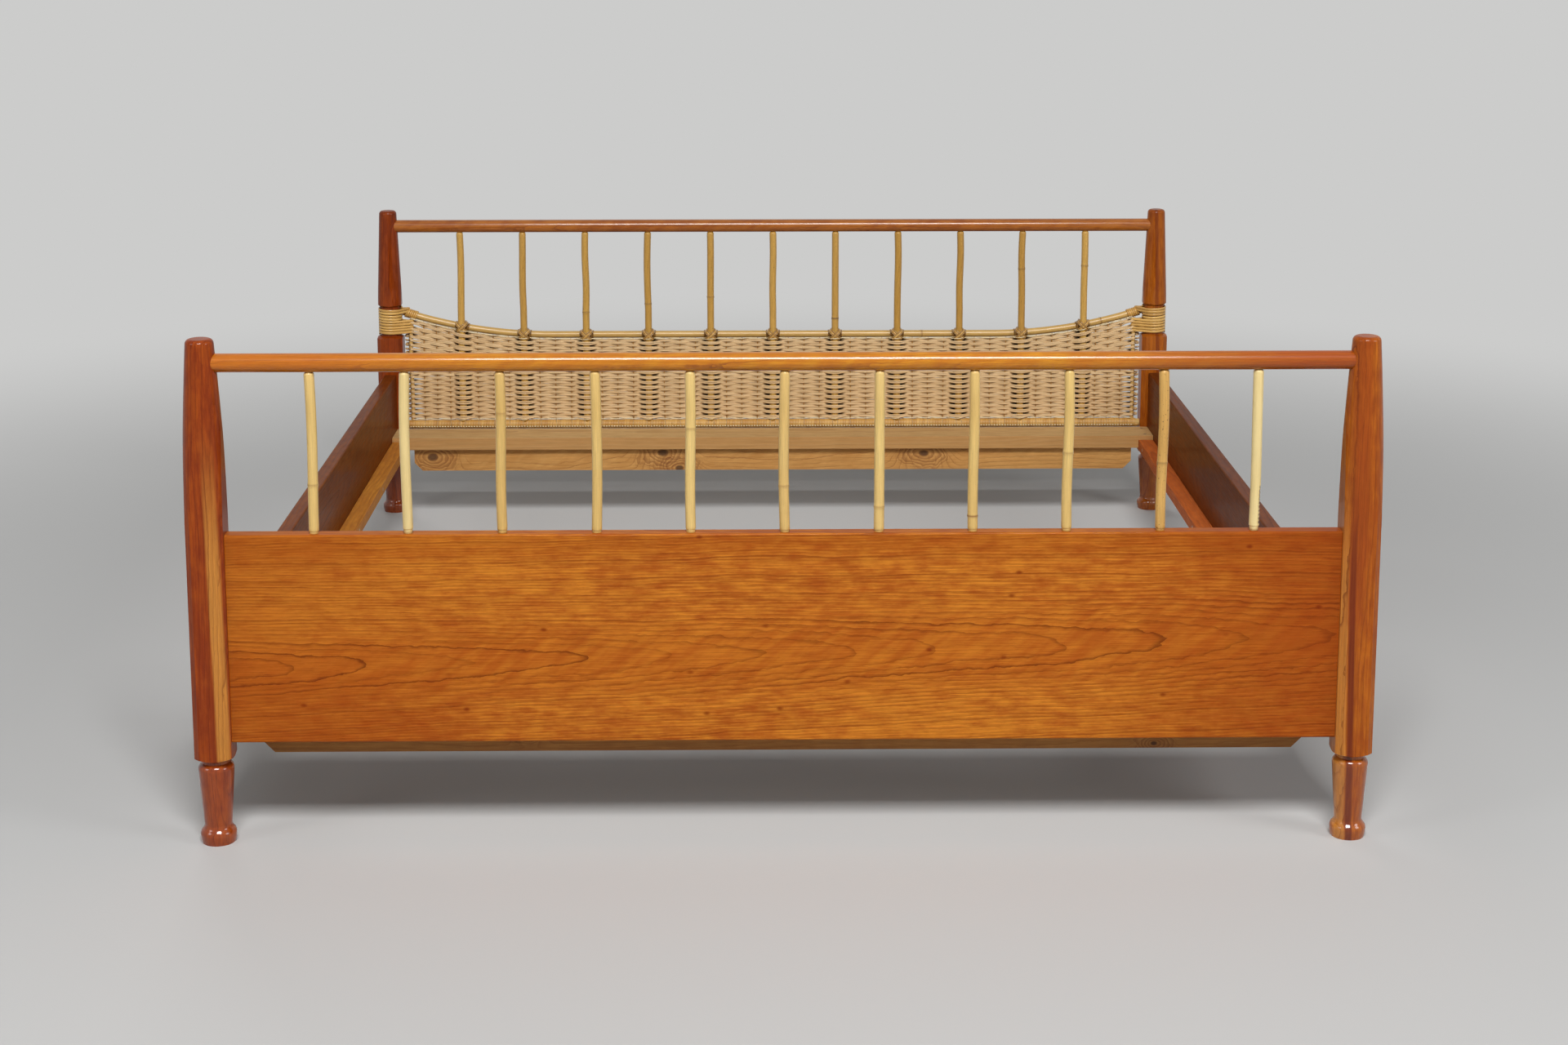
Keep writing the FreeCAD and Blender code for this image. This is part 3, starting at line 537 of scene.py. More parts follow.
def addStrand(bag, path, normals, width, thickness, tones, sides=6, closed=False, square=1.0, shadows=None):
    count = len(path)
    first = len(bag["points"])
    lengths = []
    along = 0.0
    for i, place in enumerate(path):
        if i:
            along += (place - path[i - 1]).length
        lengths.append(along)
        before = path[i - 1] if i or closed else place
        after = path[(i + 1) % count] if i < count - 1 or closed else place
        forward = (after - before).normalized()
        outward = at(normals, i)
        normal = (outward - forward * outward.dot(forward)).normalized()
        side = forward.cross(normal)
        halfWide, halfThick, tone = at(width, i) / 2, at(thickness, i) / 2, at(tones, i)
        for k in range(sides):
            turn = 2 * math.pi * k / sides
            wide, thick = halfWide * power(math.cos(turn), square), halfThick * power(math.sin(turn), square)
            bag["points"].append(place + side * wide + normal * thick)
            shaded = shadows is not None and math.sin(turn) < 0.1  # painted shade, into the tone's second channel, goes on the side away from the normal
            bag["tones"].append((tone[0], max(tone[1], shadows[i]), tone[2]) if shaded else tone)
    lengths.append(along + (path[0] - path[-1]).length)
    for i in range(count if closed else count - 1):
        here = first + i * sides
        there = first + (i + 1) % count * sides
        for k in range(sides):
            n = (k + 1) % sides
            bag["faces"].append((here + k, there + k, there + n, here + n))
            a, b = k / sides, (k + 1) / sides
            bag["corners"] += [(lengths[i], a), (lengths[i + 1], a), (lengths[i + 1], b), (lengths[i], b)]
    if not closed:
        last = first + (count - 1) * sides
        bag["faces"].append(tuple(first + k for k in range(sides)))
        bag["faces"].append(tuple(last + k for k in reversed(range(sides))))
        bag["corners"] += [(0.0, k / sides) for k in range(sides)]
        bag["corners"] += [(along, k / sides) for k in reversed(range(sides))]


def makePiece(name, bag, material, slot, *nodes):
    mesh = bpy.data.meshes.new(name)
    mesh.from_pydata(bag["points"], [], bag["faces"])
    layer = mesh.uv_layers.new(name="strandUv")
    layer.data.foreach_set("uv", [value for corner in bag["corners"] for value in corner])
    tones = mesh.attributes.new("tone", "FLOAT_COLOR", "POINT")
    tones.data.foreach_set("color", [value for tone in bag["tones"] for value in (*tone, 1.0)])
    mesh.polygons.foreach_set("use_smooth", [True] * len(mesh.polygons))
    mesh.materials.append(material)
    piece = bpy.data.objects.new(name, mesh)
    bpy.context.scene.collection.objects.link(piece)
    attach(piece, "root")
    if nodes:
        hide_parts(*nodes)
    return piece


def smooth(t):
    t = min(max(t, 0.0), 1.0)
    return t * t * (3 - 2 * t)


def eased(value, start, reach):
    return smooth((value - start) / reach)


def bell(distance, reach):
    return math.exp(-(distance / reach) ** 2)


def poleNode(shape, away):  # how far a node swells its pole at this distance, and how dark the ring is there
    groove = shape["groove"] * bell(away - shape["grooveAt"], shape["grooveReach"])
    swell = shape["swell"] * bell(away, shape["reach"]) - groove
    return swell, bell(away - shape["ringAt"], shape["ringReach"])


# rattan spindles

spindleLook = {
    "count": 11,  # at each end
    "sides": 18,
    "step": 0.006,
    "sink": 0.004,  # how far the ends go into panel, bar and rail
    "tip": 0.0048,  # rounded shoulder under the top rail
    "tipRadius": 0.0050,
    "tipSteps": 6,
    "bend": 0.0022,
    "seatRadius": 0.0072,  # shaved lower end of the foot poles
    "seatShow": 0.0042,
    "seatBlend": 0.0014,
    "seatStep": 0.0005,
    "seatTop": 0.0088,
    "footNodes": [0.29, 0, 0.74, 0, 0.64, 0.275, 0.14, 0.08, 0.48, 0.415, 0],  # share of the free height
    "headNodes": [0, 0, 0.23, 0.31, 0.375, 0, 0.165, 0, 0, 0.64, 0.67],
    "nodeSlim": 0.0007,  # a pole with a node is this much thinner beside it
    "nodeStep": 0.0012,
    "node": {"swell": 0.0008, "reach": 0.0026, "groove": 0.0004, "grooveAt": 0.0012, "grooveReach": 0.0009,
             "ringAt": 0.0006, "ringReach": 0.0015},
    "chipped": "foot11",  # the low edge of this pole is nibbled
    "chipRange": (0.526, 0.588),
    "chipStep": 0.0011,
    "chipSteps": 57,
    "notch": 0.0064,
    "notches": 12,
    "bite": 0.0016,
    "biteDark": 0.0006,  # a bite this deep is all dark
    "biteEdge": 0.7,
    "darkRings": ["foot08", "head07"],
    "cream": ["foot02", "foot11"],
    "speckled": ["foot10"],
    "seed": 17,
}
crestLow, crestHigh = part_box("crest_rail")
crestY = (crestLow.y + crestHigh.y) / 2
crestRadius = (crestHigh.y - crestLow.y) / 2
crestLevel = crestLow.z + crestRadius
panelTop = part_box("foot_panel")[1].z
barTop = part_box("bottom_bar_wrap")[1].z
spindleAxes = []  # x and radius of every head spindle


def chipEdge(bag, heights, draw):  # small notches along one edge of a pole
    look = spindleLook
    low, high = look["chipRange"]
    depths = [draw.uniform(0.3, 1.0) for _ in range(look["notches"])]
    for i, h in enumerate(heights):
        if not low < h < high:
            continue
        step = (h - low) / look["notch"]
        bite = look["bite"] * depths[int(step)] * (1 - abs(2 * (step % 1) - 1)) ** 0.7
        for k in range(look["sides"]):
            index = i * look["sides"] + k
            edge = -math.cos(2 * math.pi * k / look["sides"]) - look["biteEdge"]
            if edge > 0:
                cut = Vector((bite * edge / (1 - look["biteEdge"]), 0, 0))
                bag["points"][index] = bag["points"][index] - cut
                light, _, ageAndShade = bag["tones"][index]
                bag["tones"][index] = (light, min(1.0, bite / look["biteDark"]), ageAndShade)


def makeSpindle(end, number, draw):
    look = spindleLook
    node = "%s_spindle_%02d" % (end, number)
    low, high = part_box(node)
    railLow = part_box(end + "_top_rail")[0].z
    x, y = (low.x + high.x) / 2, (low.y + high.y) / 2
    tag = "%s%02d" % (end, number)
    share = look[end + "Nodes"][number - 1]
    radius = (high.x - low.x) / 2 - (look["nodeSlim"] if share else 0)
    bottom = (panelTop if end == "foot" else barTop) - look["sink"]
    free = panelTop + look["seatShow"] if end == "foot" else crestLevel
    nodeHeight = free + share * (railLow - free) if share else 0
    fixedBelow = bottom if end == "foot" else crestHigh.z  # the weave holds the lower part straight
    seatShow = look["seatShow"] * (1.5 if tag in look["cream"] else draw.uniform(0.3, 1.0))
    top = railLow + look["sink"] * 0.5
    heights = [bottom + look["step"] * i for i in range(int((railLow - look["tip"] - bottom) / look["step"]))]
    if nodeHeight:
        heights = [h for h in heights if abs(h - nodeHeight) > look["step"]]
        heights += [nodeHeight + look["nodeStep"] * i for i in range(-5, 6)]
    turns = [math.pi / 2 * i / look["tipSteps"] for i in range(look["tipSteps"] + 1)]
    heights += [railLow - look["tip"] * (1 - math.sin(turn)) for turn in turns] + [top]
    if end == "foot":
        heights = [h for h in heights if h > panelTop + 0.009]
        heights += [panelTop + seatShow + look["seatStep"] * i for i in range(-1, 4)]
        heights += [bottom, panelTop + look["seatTop"]]
    if tag == look["chipped"]:
        first, last = look["chipRange"]
        heights = [h for h in heights if not first - 0.001 < h < last + 0.001]
        heights += [first + look["chipStep"] * i for i in range(look["chipSteps"])]
    heights.sort()
    sway = Vector((draw.uniform(-1, 1), draw.uniform(-0.6, 0.6), 0)) * look["bend"]
    second = Vector((draw.uniform(-1, 1), draw.uniform(-0.6, 0.6), 0)) * look["bend"] * 0.5
    taper = draw.uniform(-0.03, 0.03)
    lightness = draw.uniform(0.25, 0.75)
    # the head's poles take 0.2 more of the aged colour: painted shade for the dimmer light at the head end
    ageAndShade = max(0.0, draw.uniform(-0.3, 0.35) + (0.2 if end == "head" else 0))
    darkness = 0.95 if tag in look["darkRings"] else 0.5
    path, widths, tones = [], [], []
    for h in heights:
        t = min(max((h - fixedBelow) / (railLow - fixedBelow), 0), 1)
        shift = sway * math.sin(math.pi * t) + second * math.sin(2 * math.pi * t)
        size = radius * (1 + taper * (t - 0.5))
        ring = 0.0
        if nodeHeight:
            swell, ring = poleNode(look["node"], h - nodeHeight)
            size += swell
        if end == "foot":
            shaved = smooth((h - panelTop - seatShow) / look["seatBlend"])
            size = look["seatRadius"] + (size - look["seatRadius"]) * shaved
        left = (railLow - h) / look["tip"]
        if left < 1:
            shoulder = math.sqrt(max(0, 1 - (1 - max(left, 0)) ** 2))
            size = look["tipRadius"] + (size - look["tipRadius"]) * shoulder
        path.append(Vector((x, y, h)) + shift)
        widths.append(2 * size)
        tones.append((lightness, darkness * ring, ageAndShade))
    bag = newBag()
    addStrand(bag, path, backward, widths, widths, tones, look["sides"])
    if tag == look["chipped"]:
        chipEdge(bag, heights, draw)
    skin = "rattanGold" if end == "foot" else "rattanMottled"
    if tag in look["cream"]:
        skin = "rattanCream"
    if tag in look["speckled"]:
        skin = "rattanSpeckled"
    makePiece("%sSpindle%02d" % (end, number), bag, cane[skin], "rattan", node)
    if end == "head":
        spindleAxes.append((x, radius))


spindleDraw = random.Random(spindleLook["seed"])
for end in ("foot", "head"):
    for number in range(1, spindleLook["count"] + 1):
        makeSpindle(end, number, spindleDraw)
headY = (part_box("head_top_rail")[0].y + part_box("head_top_rail")[1].y) / 2
print("spindles:", 2 * spindleLook["count"])


# crest rail and side stakes

crestLook = {
    "flatHalf": 0.530,  # level this far each side of the middle
    "bend": 1.170,
    "nodes": [-0.61, -0.14, 0.36, 0.794],
    "nodeStep": 0.0014,
    "node": {"swell": 0.0007, "reach": 0.003, "groove": 0.0004, "grooveAt": 0.0014, "grooveReach": 0.001,
             "ringAt": 0.0008, "ringReach": 0.0016},
    "ringDark": 0.75,
    "step": 0.012,
    "sides": 18,
    "endGap": 0.002,
}


def crestHeight(x):
    beyond = max(abs(x) - crestLook["flatHalf"], 0)
    return crestLevel + crestLook["bend"] - math.sqrt(crestLook["bend"] ** 2 - beyond ** 2)


def crestTangent(x):
    beyond = max(abs(x) - crestLook["flatHalf"], 0)
    turn = math.asin(beyond / crestLook["bend"]) * (1 if x > 0 else -1)
    return Vector((math.cos(turn), 0, math.sin(turn)))


def makeCrest():
    look = crestLook
    half = crestHigh.x - look["endGap"]
    steps = int(2 * half / look["step"])
    xs = [-half + 2 * half * i / steps for i in range(steps + 1)]
    xs += [n + look["nodeStep"] * i for n in look["nodes"] for i in range(-5, 6)]
    xs.sort()
    path, sizes, tones = [], [], []
    for x in xs:
        size = crestRadius
        scarAndShade = 0.0
        for n in look["nodes"]:
            swell, ring = poleNode(look["node"], x - n)
            size += swell
            scarAndShade = max(scarAndShade, look["ringDark"] * ring)
        path.append(Vector((x, crestY, crestHeight(x))))
        sizes.append(2 * size)
        tones.append((0.3, scarAndShade, 0.45))
    bag = newBag()
    addStrand(bag, path, backward, sizes, sizes, tones, look["sides"])
    makePiece("crestRail", bag, cane["rattanGold"], "rattan", "crest_rail")


def makeSideStake(side):
    node = "side_stake_" + side
    low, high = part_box(node)
    radius = (high.x - low.x) / 2
    middle = (low.x + high.x) / 2
    count = 50
    path, sizes = [], []
    for i in range(count + 1):
        t = i / count
        x, y = middle + 0.0008 * math.sin(7 * t), headY + 0.0006 * math.sin(5 * t + 1)
        path.append(Vector((x, y, low.z + (high.z - low.z) * t)))
        sizes.append(2 * radius * (1 - 0.3 * max(0, t - 0.97) / 0.03))  # the top end is shaved
    bag = newBag()
    addStrand(bag, path, backward, sizes, sizes, (0.35, 0.0, 0.45), 12)
    makePiece("sideStake" + side.capitalize(), bag, cane["rattanGold"], "rattan", node)


makeCrest()
makeSideStake("left")
makeSideStake("right")
print("crest rail and side stakes")


# woven reed

weaveLook = {
    "rows": 32,
    "steps": 8,  # points between two stakes
    "wide": 0.0034,
    "thick": 0.0021,
    "half": 0.00148,  # the two strands of a row lie this far above and below its middle
    "fan": 0.0026,  # behind a spindle the lower one drops this far
    "settle": 0.0006,  # and the upper one this far
    "part": 0.0006,  # before a spindle the two part by this each
    "flatten": 0.0025,  # strands grow wider by this behind a spindle
    "twineHeight": 0.0042,  # room for the twined strands at the bottom and the top
    "fanFrom": 0.5,  # rows above this share of the height rise with the crest
    "shortRows": 12,
    "pinch": 0.034,  # the rows draw together this far from a side stake
    "thinRadius": 0.0013,
    "pairPull": 0.8,  # there the two rows of a pair come this much of the way to their middle
    "liftPull": 0.35,  # and the two strands of a row lose this share of their distance
    "behind": (0.03, 0.45),  # shares of the deepest place, where this starts and over which it comes in
    # shade and shadeReach place painted shade on strands where they pass behind a stake
    "shade": (0.1, 0.5),
    "before": (0.25, 0.5),
    "shadeReach": 0.007,  # the shadow beside a stake
    "thinPerBay": 3,
    "thinWide": 0.0027,
    "thinThick": 0.0026,
    "thinSway": 0.0006,
    "edgeReach": 2.1,  # loops at the edge go this many times as far sideways as they are deep
    "twineWide": 0.0024,
    "twineThick": 0.0021,
    "twineGap": 0.0013,  # from a stake to the middle of a twined strand
    "bottomSwing": 0.0012,
    "topSwing": 0.0010,
    "topDrop": 0.0022,
    "topRise": 0.0035,  # the top rows stand a little before the crest
    "seed": 29,
}
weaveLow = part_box("cane_weave")[0].z
weaveTopLevel = crestLow.z + weaveLook["topRise"]
stakeLow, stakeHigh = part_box("side_stake_right")
sideStakeX = (stakeLow.x + stakeHigh.x) / 2
sideStakeRadius = (stakeHigh.x - stakeLow.x) / 2


def stakeList():
    main = [(-sideStakeX, sideStakeRadius)] + spindleAxes + [(sideStakeX, sideStakeRadius)]
    stakes = [main[0]]
    parts = weaveLook["thinPerBay"] + 1
    for (x0, _), last in zip(main, main[1:]):
        stakes += [(x0 + (last[0] - x0) * i / parts, weaveLook["thinRadius"]) for i in range(1, parts)]
        stakes.append(last)
    return stakes


stakes = stakeList()
frontPull = -1  # the bed's side of the weave looks towards the foot


def weaveRise(x):
    return crestHeight(x) - crestLevel


def rowHeights():  # each row's height in the middle, and its share of the crest's rise
    look = weaveLook
    low = weaveLow + look["twineHeight"]
    high = weaveTopLevel - look["twineHeight"] * 0.8
    pitch = (high - low) / look["rows"]
    rows = []
    for i in range(look["rows"]):
        share = smooth((i / (look["rows"] - 1) - look["fanFrom"]) / (1 - look["fanFrom"]))
        rows.append((low + pitch * (i + 0.5), share))
    return rows


def weaveStrand(bag, parity, heightAt, pairHeightAt, lift, draw, startStake=0, endStake=None):
    look = weaveLook
    endStake = len(stakes) - 1 if endStake is None else endStake
    reach = [radius + look["thick"] / 2 for _, radius in stakes]
    deepest = max(reach)
    loose = draw.uniform(0.92, 1.1)
    wave = [(draw.uniform(2, 9), draw.uniform(0, 6.28), draw.uniform(0.0001, 0.00028)) for _ in range(2)]
    tone = (draw.uniform(0.1, 0.9), 0.0, max(0.0, draw.uniform(-0.5, 0.35)))
    path, normals, shadows, extra = [], [], [], []

    def offset(j):
        side = frontPull if (parity + j) % 2 == 0 else -frontPull
        return side * reach[j] * loose

    def height(x):
        drawn = smooth((abs(x) - (sideStakeX - look["pinch"])) / look["pinch"])
        z = heightAt(x) + (pairHeightAt(x) - heightAt(x)) * drawn * look["pairPull"]
        z += sum(size * math.sin(rate * x * 10 + turn) for rate, turn, size in wave)
        return z + lift * (1 - look["liftPull"] * drawn)

    def addArc(j, outward):
        x, y = stakes[j][0], offset(j)
        for i in range(1, 5):
            turn = math.pi / 2 * i / 4
            normal = Vector((outward * math.sin(turn), math.copysign(math.cos(turn), y), 0))
            sideways = normal.x * abs(y) * look["edgeReach"]
            path.append(Vector((x + sideways, headY + normal.y * abs(y), height(x))))
            normals.append(normal)
            shadows.append(0.0)
            extra.append(0.0)

    if startStake == 0:
        addArc(0, -1)
        path.reverse()
        normals.reverse()
    for j in range(startStake, endStake):
        x0, x1 = stakes[j][0], stakes[j + 1][0]
        y0, y1 = offset(j), offset(j + 1)
        for i in range(look["steps"] + (1 if j == endStake - 1 else 0)):
            t = i / look["steps"]
            x = x0 + (x1 - x0) * t
            y = y0 + (y1 - y0) * (1 - math.cos(math.pi * t)) / 2
            depth = -frontPull * y / deepest
            behind, shade = eased(depth, *look["behind"]), eased(depth, *look["shade"])
            stakeX, size = (x0, reach[j]) if y0 * frontPull < 0 else (x1, reach[j + 1])
            near = bell(x - stakeX, look["shadeReach"]) * size / deepest
            before = eased(-depth, *look["before"])
            drop = (look["fan"] if lift < 0 else look["settle"]) * behind
            part = math.copysign(look["part"], lift) * before
            path.append(Vector((x, headY + y, height(x) - drop + part)))
            normals.append(backward)
            # painted shade on the front of a strand behind a stake, darkest on the lower strand, and a little
            # beside each stake
            shadows.append(max(shade * (1.0 if lift < 0 else 0.7), 0.3 * near))
            extra.append(look["flatten"] * (behind + 0.25 * before))
    if endStake == len(stakes) - 1:
        addArc(endStake, 1)
    wide = look["wide"] * draw.uniform(0.94, 1.05)
    addStrand(bag, path, normals, [wide + more for more in extra], look["thick"], tone, shadows=shadows)


def makeWeave():
    look = weaveLook
    draw = random.Random(look["seed"])
    rows = rowHeights()
    bag = newBag()

    def heightOf(row):
        base, share = rows[row]
        return lambda x: base + weaveRise(x) * share

    for row in range(look["rows"]):
        partner = row + 1 if row % 2 == 0 else row - 1
        partner = min(partner, look["rows"] - 1)
        own, other = heightOf(row), heightOf(partner)
        pair = lambda x, own=own, other=other: (own(x) + other(x)) / 2
        for lift in (-look["half"], look["half"]):
            weaveStrand(bag, row, own, pair, lift, draw)
    # short rows fill the corners where the long rows fan out under the crest
    fanRows = [row for row in range(look["rows"] - 1) if rows[row][1] < 1 and rows[row + 1][1] > 0.02]
    steepest = sorted(fanRows, key=lambda row: rows[row][1] - rows[row + 1][1])[:look["shortRows"]]
    for number, row in enumerate(sorted(steepest)):
        low, high = heightOf(row), heightOf(row + 1)
        middle = lambda x, low=low, high=high: (low(x) + high(x)) / 2
        inner = 6 + number % 3
        for lift in (-look["half"], look["half"]):
            weaveStrand(bag, row + 1, middle, middle, lift * 0.8, draw, 0, inner)
            weaveStrand(bag, row + 1, middle, middle, lift * 0.8, draw, len(stakes) - 1 - inner, None)
    makePiece("wovenPanel", bag, cane["wovenReed"], "cane_weave", "cane_weave")


def makeTwine(name, heightAt, swing):
    draw = random.Random(weaveLook["seed"] + 1)
    bag = newBag()
    steps = 10
    for strand in range(2):
        path, normals = [], []
        tone = (draw.uniform(0.5, 0.9), 0.0, draw.uniform(0.0, 0.2))
        for j in range(len(stakes) - 1):
            (x0, r0), (x1, r1) = stakes[j], stakes[j + 1]
            slack = draw.uniform(-0.0006, 0.0009)
            for i in range(steps):
                t = i / steps
                turn = math.pi * (j + t + strand)
                x = x0 + (x1 - x0) * t
                reach = r0 + (r1 - r0) * smooth(t) + weaveLook["twineGap"]
                z = heightAt(x) + swing * math.sin(turn) + slack * math.sin(math.pi * t)
                path.append(Vector((x, headY + frontPull * reach * math.cos(turn), z)))
                normals.append(Vector((0, 0.3, 1)))
        addStrand(bag, path, normals, weaveLook["twineWide"], weaveLook["twineThick"], tone)
    makePiece(name, bag, cane["paleStake"], "cane_weave")


def makeThinStakes():
    look = weaveLook
    bag = newBag()
    draw = random.Random(look["seed"] + 2)
    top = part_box("cane_weave")[1].z
    for x, radius in stakes:
        if radius != look["thinRadius"]:
            continue
        high = min(top, weaveTopLevel + weaveRise(x)) - 0.0008
        count = 24
        sways = [look["thinSway"] * math.sin(4 * i / count + x * 40) for i in range(count + 1)]
        levels = [weaveLow + (high - weaveLow) * i / count for i in range(count + 1)]
        path = [Vector((x + sway, headY, level)) for sway, level in zip(sways, levels)]
        tone = (draw.uniform(0.2, 0.6), 0.2, draw.uniform(0.5, 0.8))
        addStrand(bag, path, backward, look["thinWide"], look["thinThick"], tone, 8)
    makePiece("thinStakes", bag, cane["barCane"], "cane_weave", "thin_stakes")


makeWeave()
makeTwine("twineBottom", lambda x: weaveLow + weaveLook["twineHeight"] * 0.45, weaveLook["bottomSwing"])
makeTwine("twineTop", lambda x: weaveTopLevel + weaveRise(x) - weaveLook["topDrop"], weaveLook["topSwing"])
makeThinStakes()
print("woven panel")


# wrapped bottom bar

barLook = {
    "pitch": 0.0064,
    "thick": 0.0011,
    "wide": 0.0064,
    "segments": 16,
    "dotAngle": -0.3,  # the pale strand's place below the bar's front, in radians
    "dotDepth": 0.0018,  # it swings about this depth under the wrapping's skin
    "dotSwing": 0.0028,
    "dotWide": 0.0028,
    "dotThick": 0.0022,
    "endFrom": 1.35,  # the stakes' ends lie on the bar from this angle on, over this sweep
    "endSweep": 1.75,
    "endWide": 0.0018,
    "endThick": 0.0008,
    "endShift": 0.006,
    "seed": 41,
}
barLow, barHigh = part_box("bottom_bar_wrap")
barRadius = (barHigh.z - barLow.z) / 2
barZ = (barHigh.z + barLow.z) / 2


def onBar(angle, radius, x):  # angle 0 faces the bed, a quarter turn is up
    return Vector((x, headY - radius * math.cos(angle), barZ + radius * math.sin(angle)))


def makeBarWrap():
    look = barLook
    draw = random.Random(look["seed"])
    bag = newBag()
    turns = int((barHigh.x - barLow.x - look["wide"]) / look["pitch"])
    start = -turns * look["pitch"] / 2
    radius = barRadius - look["thick"] / 2
    path, normals, tones = [], [], []
    tone = 0.5
    for i in range(turns * look["segments"] + 1):
        angle = 2 * math.pi * i / look["segments"]
        if i % look["segments"] == 0:
            tone += draw.uniform(-0.4, 0.4) + (0.5 - tone) * 0.5
            ageAndShade = max(0.0, draw.uniform(-0.5, 0.45))
        path.append(onBar(angle, radius, start + look["pitch"] * i / look["segments"]))
        normals.append(onBar(angle, 1, 0) - onBar(angle, 0, 0))
        tones.append((min(max(tone, 0), 1), 0.0, ageAndShade))
    addStrand(bag, path, normals, look["wide"], look["thick"], tones, 12, square=0.4)
    makePiece("barWrapping", bag, cane["barCane"], "cane_binding", "bottom_bar_wrap")


def makeBarTrim():  # a pale strand that shows between the turns, and the stakes' ends laid over the bar
    look = barLook
    draw = random.Random(look["seed"] + 1)
    bag = newBag()
    steps = 6
    turns = int((barHigh.x - barLow.x - 0.02) / look["pitch"])
    path, normals = [], []
    for i in range(turns * steps):
        x = -turns * look["pitch"] / 2 + look["pitch"] * i / steps
        swing = math.cos(2 * math.pi * i / steps)
        path.append(onBar(look["dotAngle"], barRadius - look["dotDepth"] + look["dotSwing"] * swing, x))
        normals.append(onBar(look["dotAngle"], 1, 0) - onBar(look["dotAngle"], 0, 0))
    addStrand(bag, path, normals, look["dotWide"], look["dotThick"], (0.95, 0.0, 0.0))
    steps = 12
    angles = [look["endFrom"] - look["endSweep"] * i / steps for i in range(steps + 1)]
    normals = [onBar(angle, 1, 0) - onBar(angle, 0, 0) for angle in angles]
    wides = [look["endWide"] * (1 - 0.6 * i / steps) for i in range(steps + 1)]
    for x, radius in stakes[1:-1]:
        for shift in [0.0] if radius == weaveLook["thinRadius"] else [-look["endShift"], look["endShift"]]:
            lean = draw.uniform(-0.003, 0.003)
            path = [onBar(a, barRadius + 0.0004, x + shift + lean * i / steps) for i, a in enumerate(angles)]
            tone = (draw.uniform(0.0, 0.4), 0.45, draw.uniform(0.6, 1.0))
            addStrand(bag, path, normals, wides, look["endThick"], tone)
    makePiece("barTrim", bag, cane["paleStake"], "cane_binding")


makeBarWrap()
makeBarTrim()
print("wrapped bar")


# lashings on the crest

lashLook = {
    "reach": 0.0166,
    "wide": 0.0036,
    "thick": 0.0013,
    "strands": 3,
    "lap": 0.95,  # distance between strands, in strand widths
    "slope": 42,
    "segments": 36,
    "corner": 0.72,  # below one the turns are squarer than an ellipse
    "rings": 2,
    "ringRoom": 0.0118,  # from the spindle's middle to the first turn round the crest
    "ringThick": 0.0018,
    "ringSegments": 24,
    "seed": 53,
}


def makeLashings():
    look = lashLook
    draw = random.Random(look["seed"])
    bag = newBag()
    for x, radius in spindleAxes:
        front = headY - radius - look["thick"] * 0.6
        back = crestY + crestRadius + look["thick"] * 0.6
        centre = Vector((x, (front + back) / 2, crestHeight(x)))
        deep = (back - front) / 2
        ageAndShade = draw.uniform(0.15, 0.6)
        for slope in (math.radians(look["slope"]), math.radians(-look["slope"])):
            along = Vector((math.cos(slope), 0, math.sin(slope)))
            beside = Vector((-math.sin(slope), 0, math.cos(slope)))
            for strand in range(look["strands"]):
                shift = (strand - (look["strands"] - 1) / 2) * look["wide"] * look["lap"]
                grow = 1 + draw.uniform(-0.02, 0.04)
                path, normals = [], []
                for i in range(look["segments"]):
                    turn = 2 * math.pi * i / look["segments"]
                    out = along * (look["reach"] * grow * power(math.cos(turn), look["corner"]))
                    out += backward * (deep * grow * power(math.sin(turn), look["corner"]))
                    path.append(centre + out + beside * shift)
                    normals.append(along * math.cos(turn) + backward * math.sin(turn))
                edge = 0.0 if strand == 1 else 0.5  # outer strands of a band are browner
                tone = (draw.uniform(0.4, 1.0), edge, ageAndShade * draw.uniform(0.3, 0.9))
                addStrand(bag, path, normals, look["wide"], look["thick"], tone, closed=True)
        turns = [2 * math.pi * i / look["ringSegments"] for i in range(look["ringSegments"])]
        for side in (-1, 1):
            for ring in range(look["rings"]):
                middle = x + side * (look["ringRoom"] + ring * look["wide"] * look["lap"])
                up = crestTangent(middle).cross(backward)
                tone = (draw.uniform(0.2, 0.8), 0.5 * ring, ageAndShade * draw.uniform(0.5, 1.1))
                normals = [backward * math.cos(turn) + up * math.sin(turn) for turn in turns]
                place = Vector((middle, crestY, crestHeight(middle)))
                path = [place + normal * (crestRadius + look["ringThick"] / 2) for normal in normals]
                addStrand(bag, path, normals, look["wide"], look["ringThick"], tone, closed=True)
    makePiece("crestLashings", bag, cane["goldenCane"], "cane_binding", "crest_lashings")


makeLashings()
print("lashings")


# bindings at the posts

bindLook = {
    "neckTurns": 9.5,
    "neckWide": 0.0060,
    "neckThick": 0.0030,
    "neckEdge": 0.43,  # strand widths from the binding's end to the first turn's middle
    "neckCover": 0.0013,  # the strand's middle lies this far under the post's faces
    "stakeTurns": 5,  # lower turns that also go round the side stake
    "crestTurns": 2,  # turns under the last one that also go round the end of the crest
    "paleTurn": 5,
    "segments": 48,
    "crestEnd": 0.007,  # the neck's turns take in the crest this far from its end
    "crestWraps": 6.5,
    "crestPitch": 0.0044,
    "crestInset": 0.006,
    "crestWide": 0.0046,
    "crestThick": 0.0030,
    "crestRoom": 0.0016,  # from the crest's skin to the strand's middle
    "crestSegments": 20,
    "seed": 61,
}


def neckPlace(angle, normal, spot, side):  # share of the turn, place and normal, mirrored for the left post
    return angle / (2 * math.pi), Vector((side * spot.x, spot.y, 0)), Vector((side * normal.x, normal.y, 0))


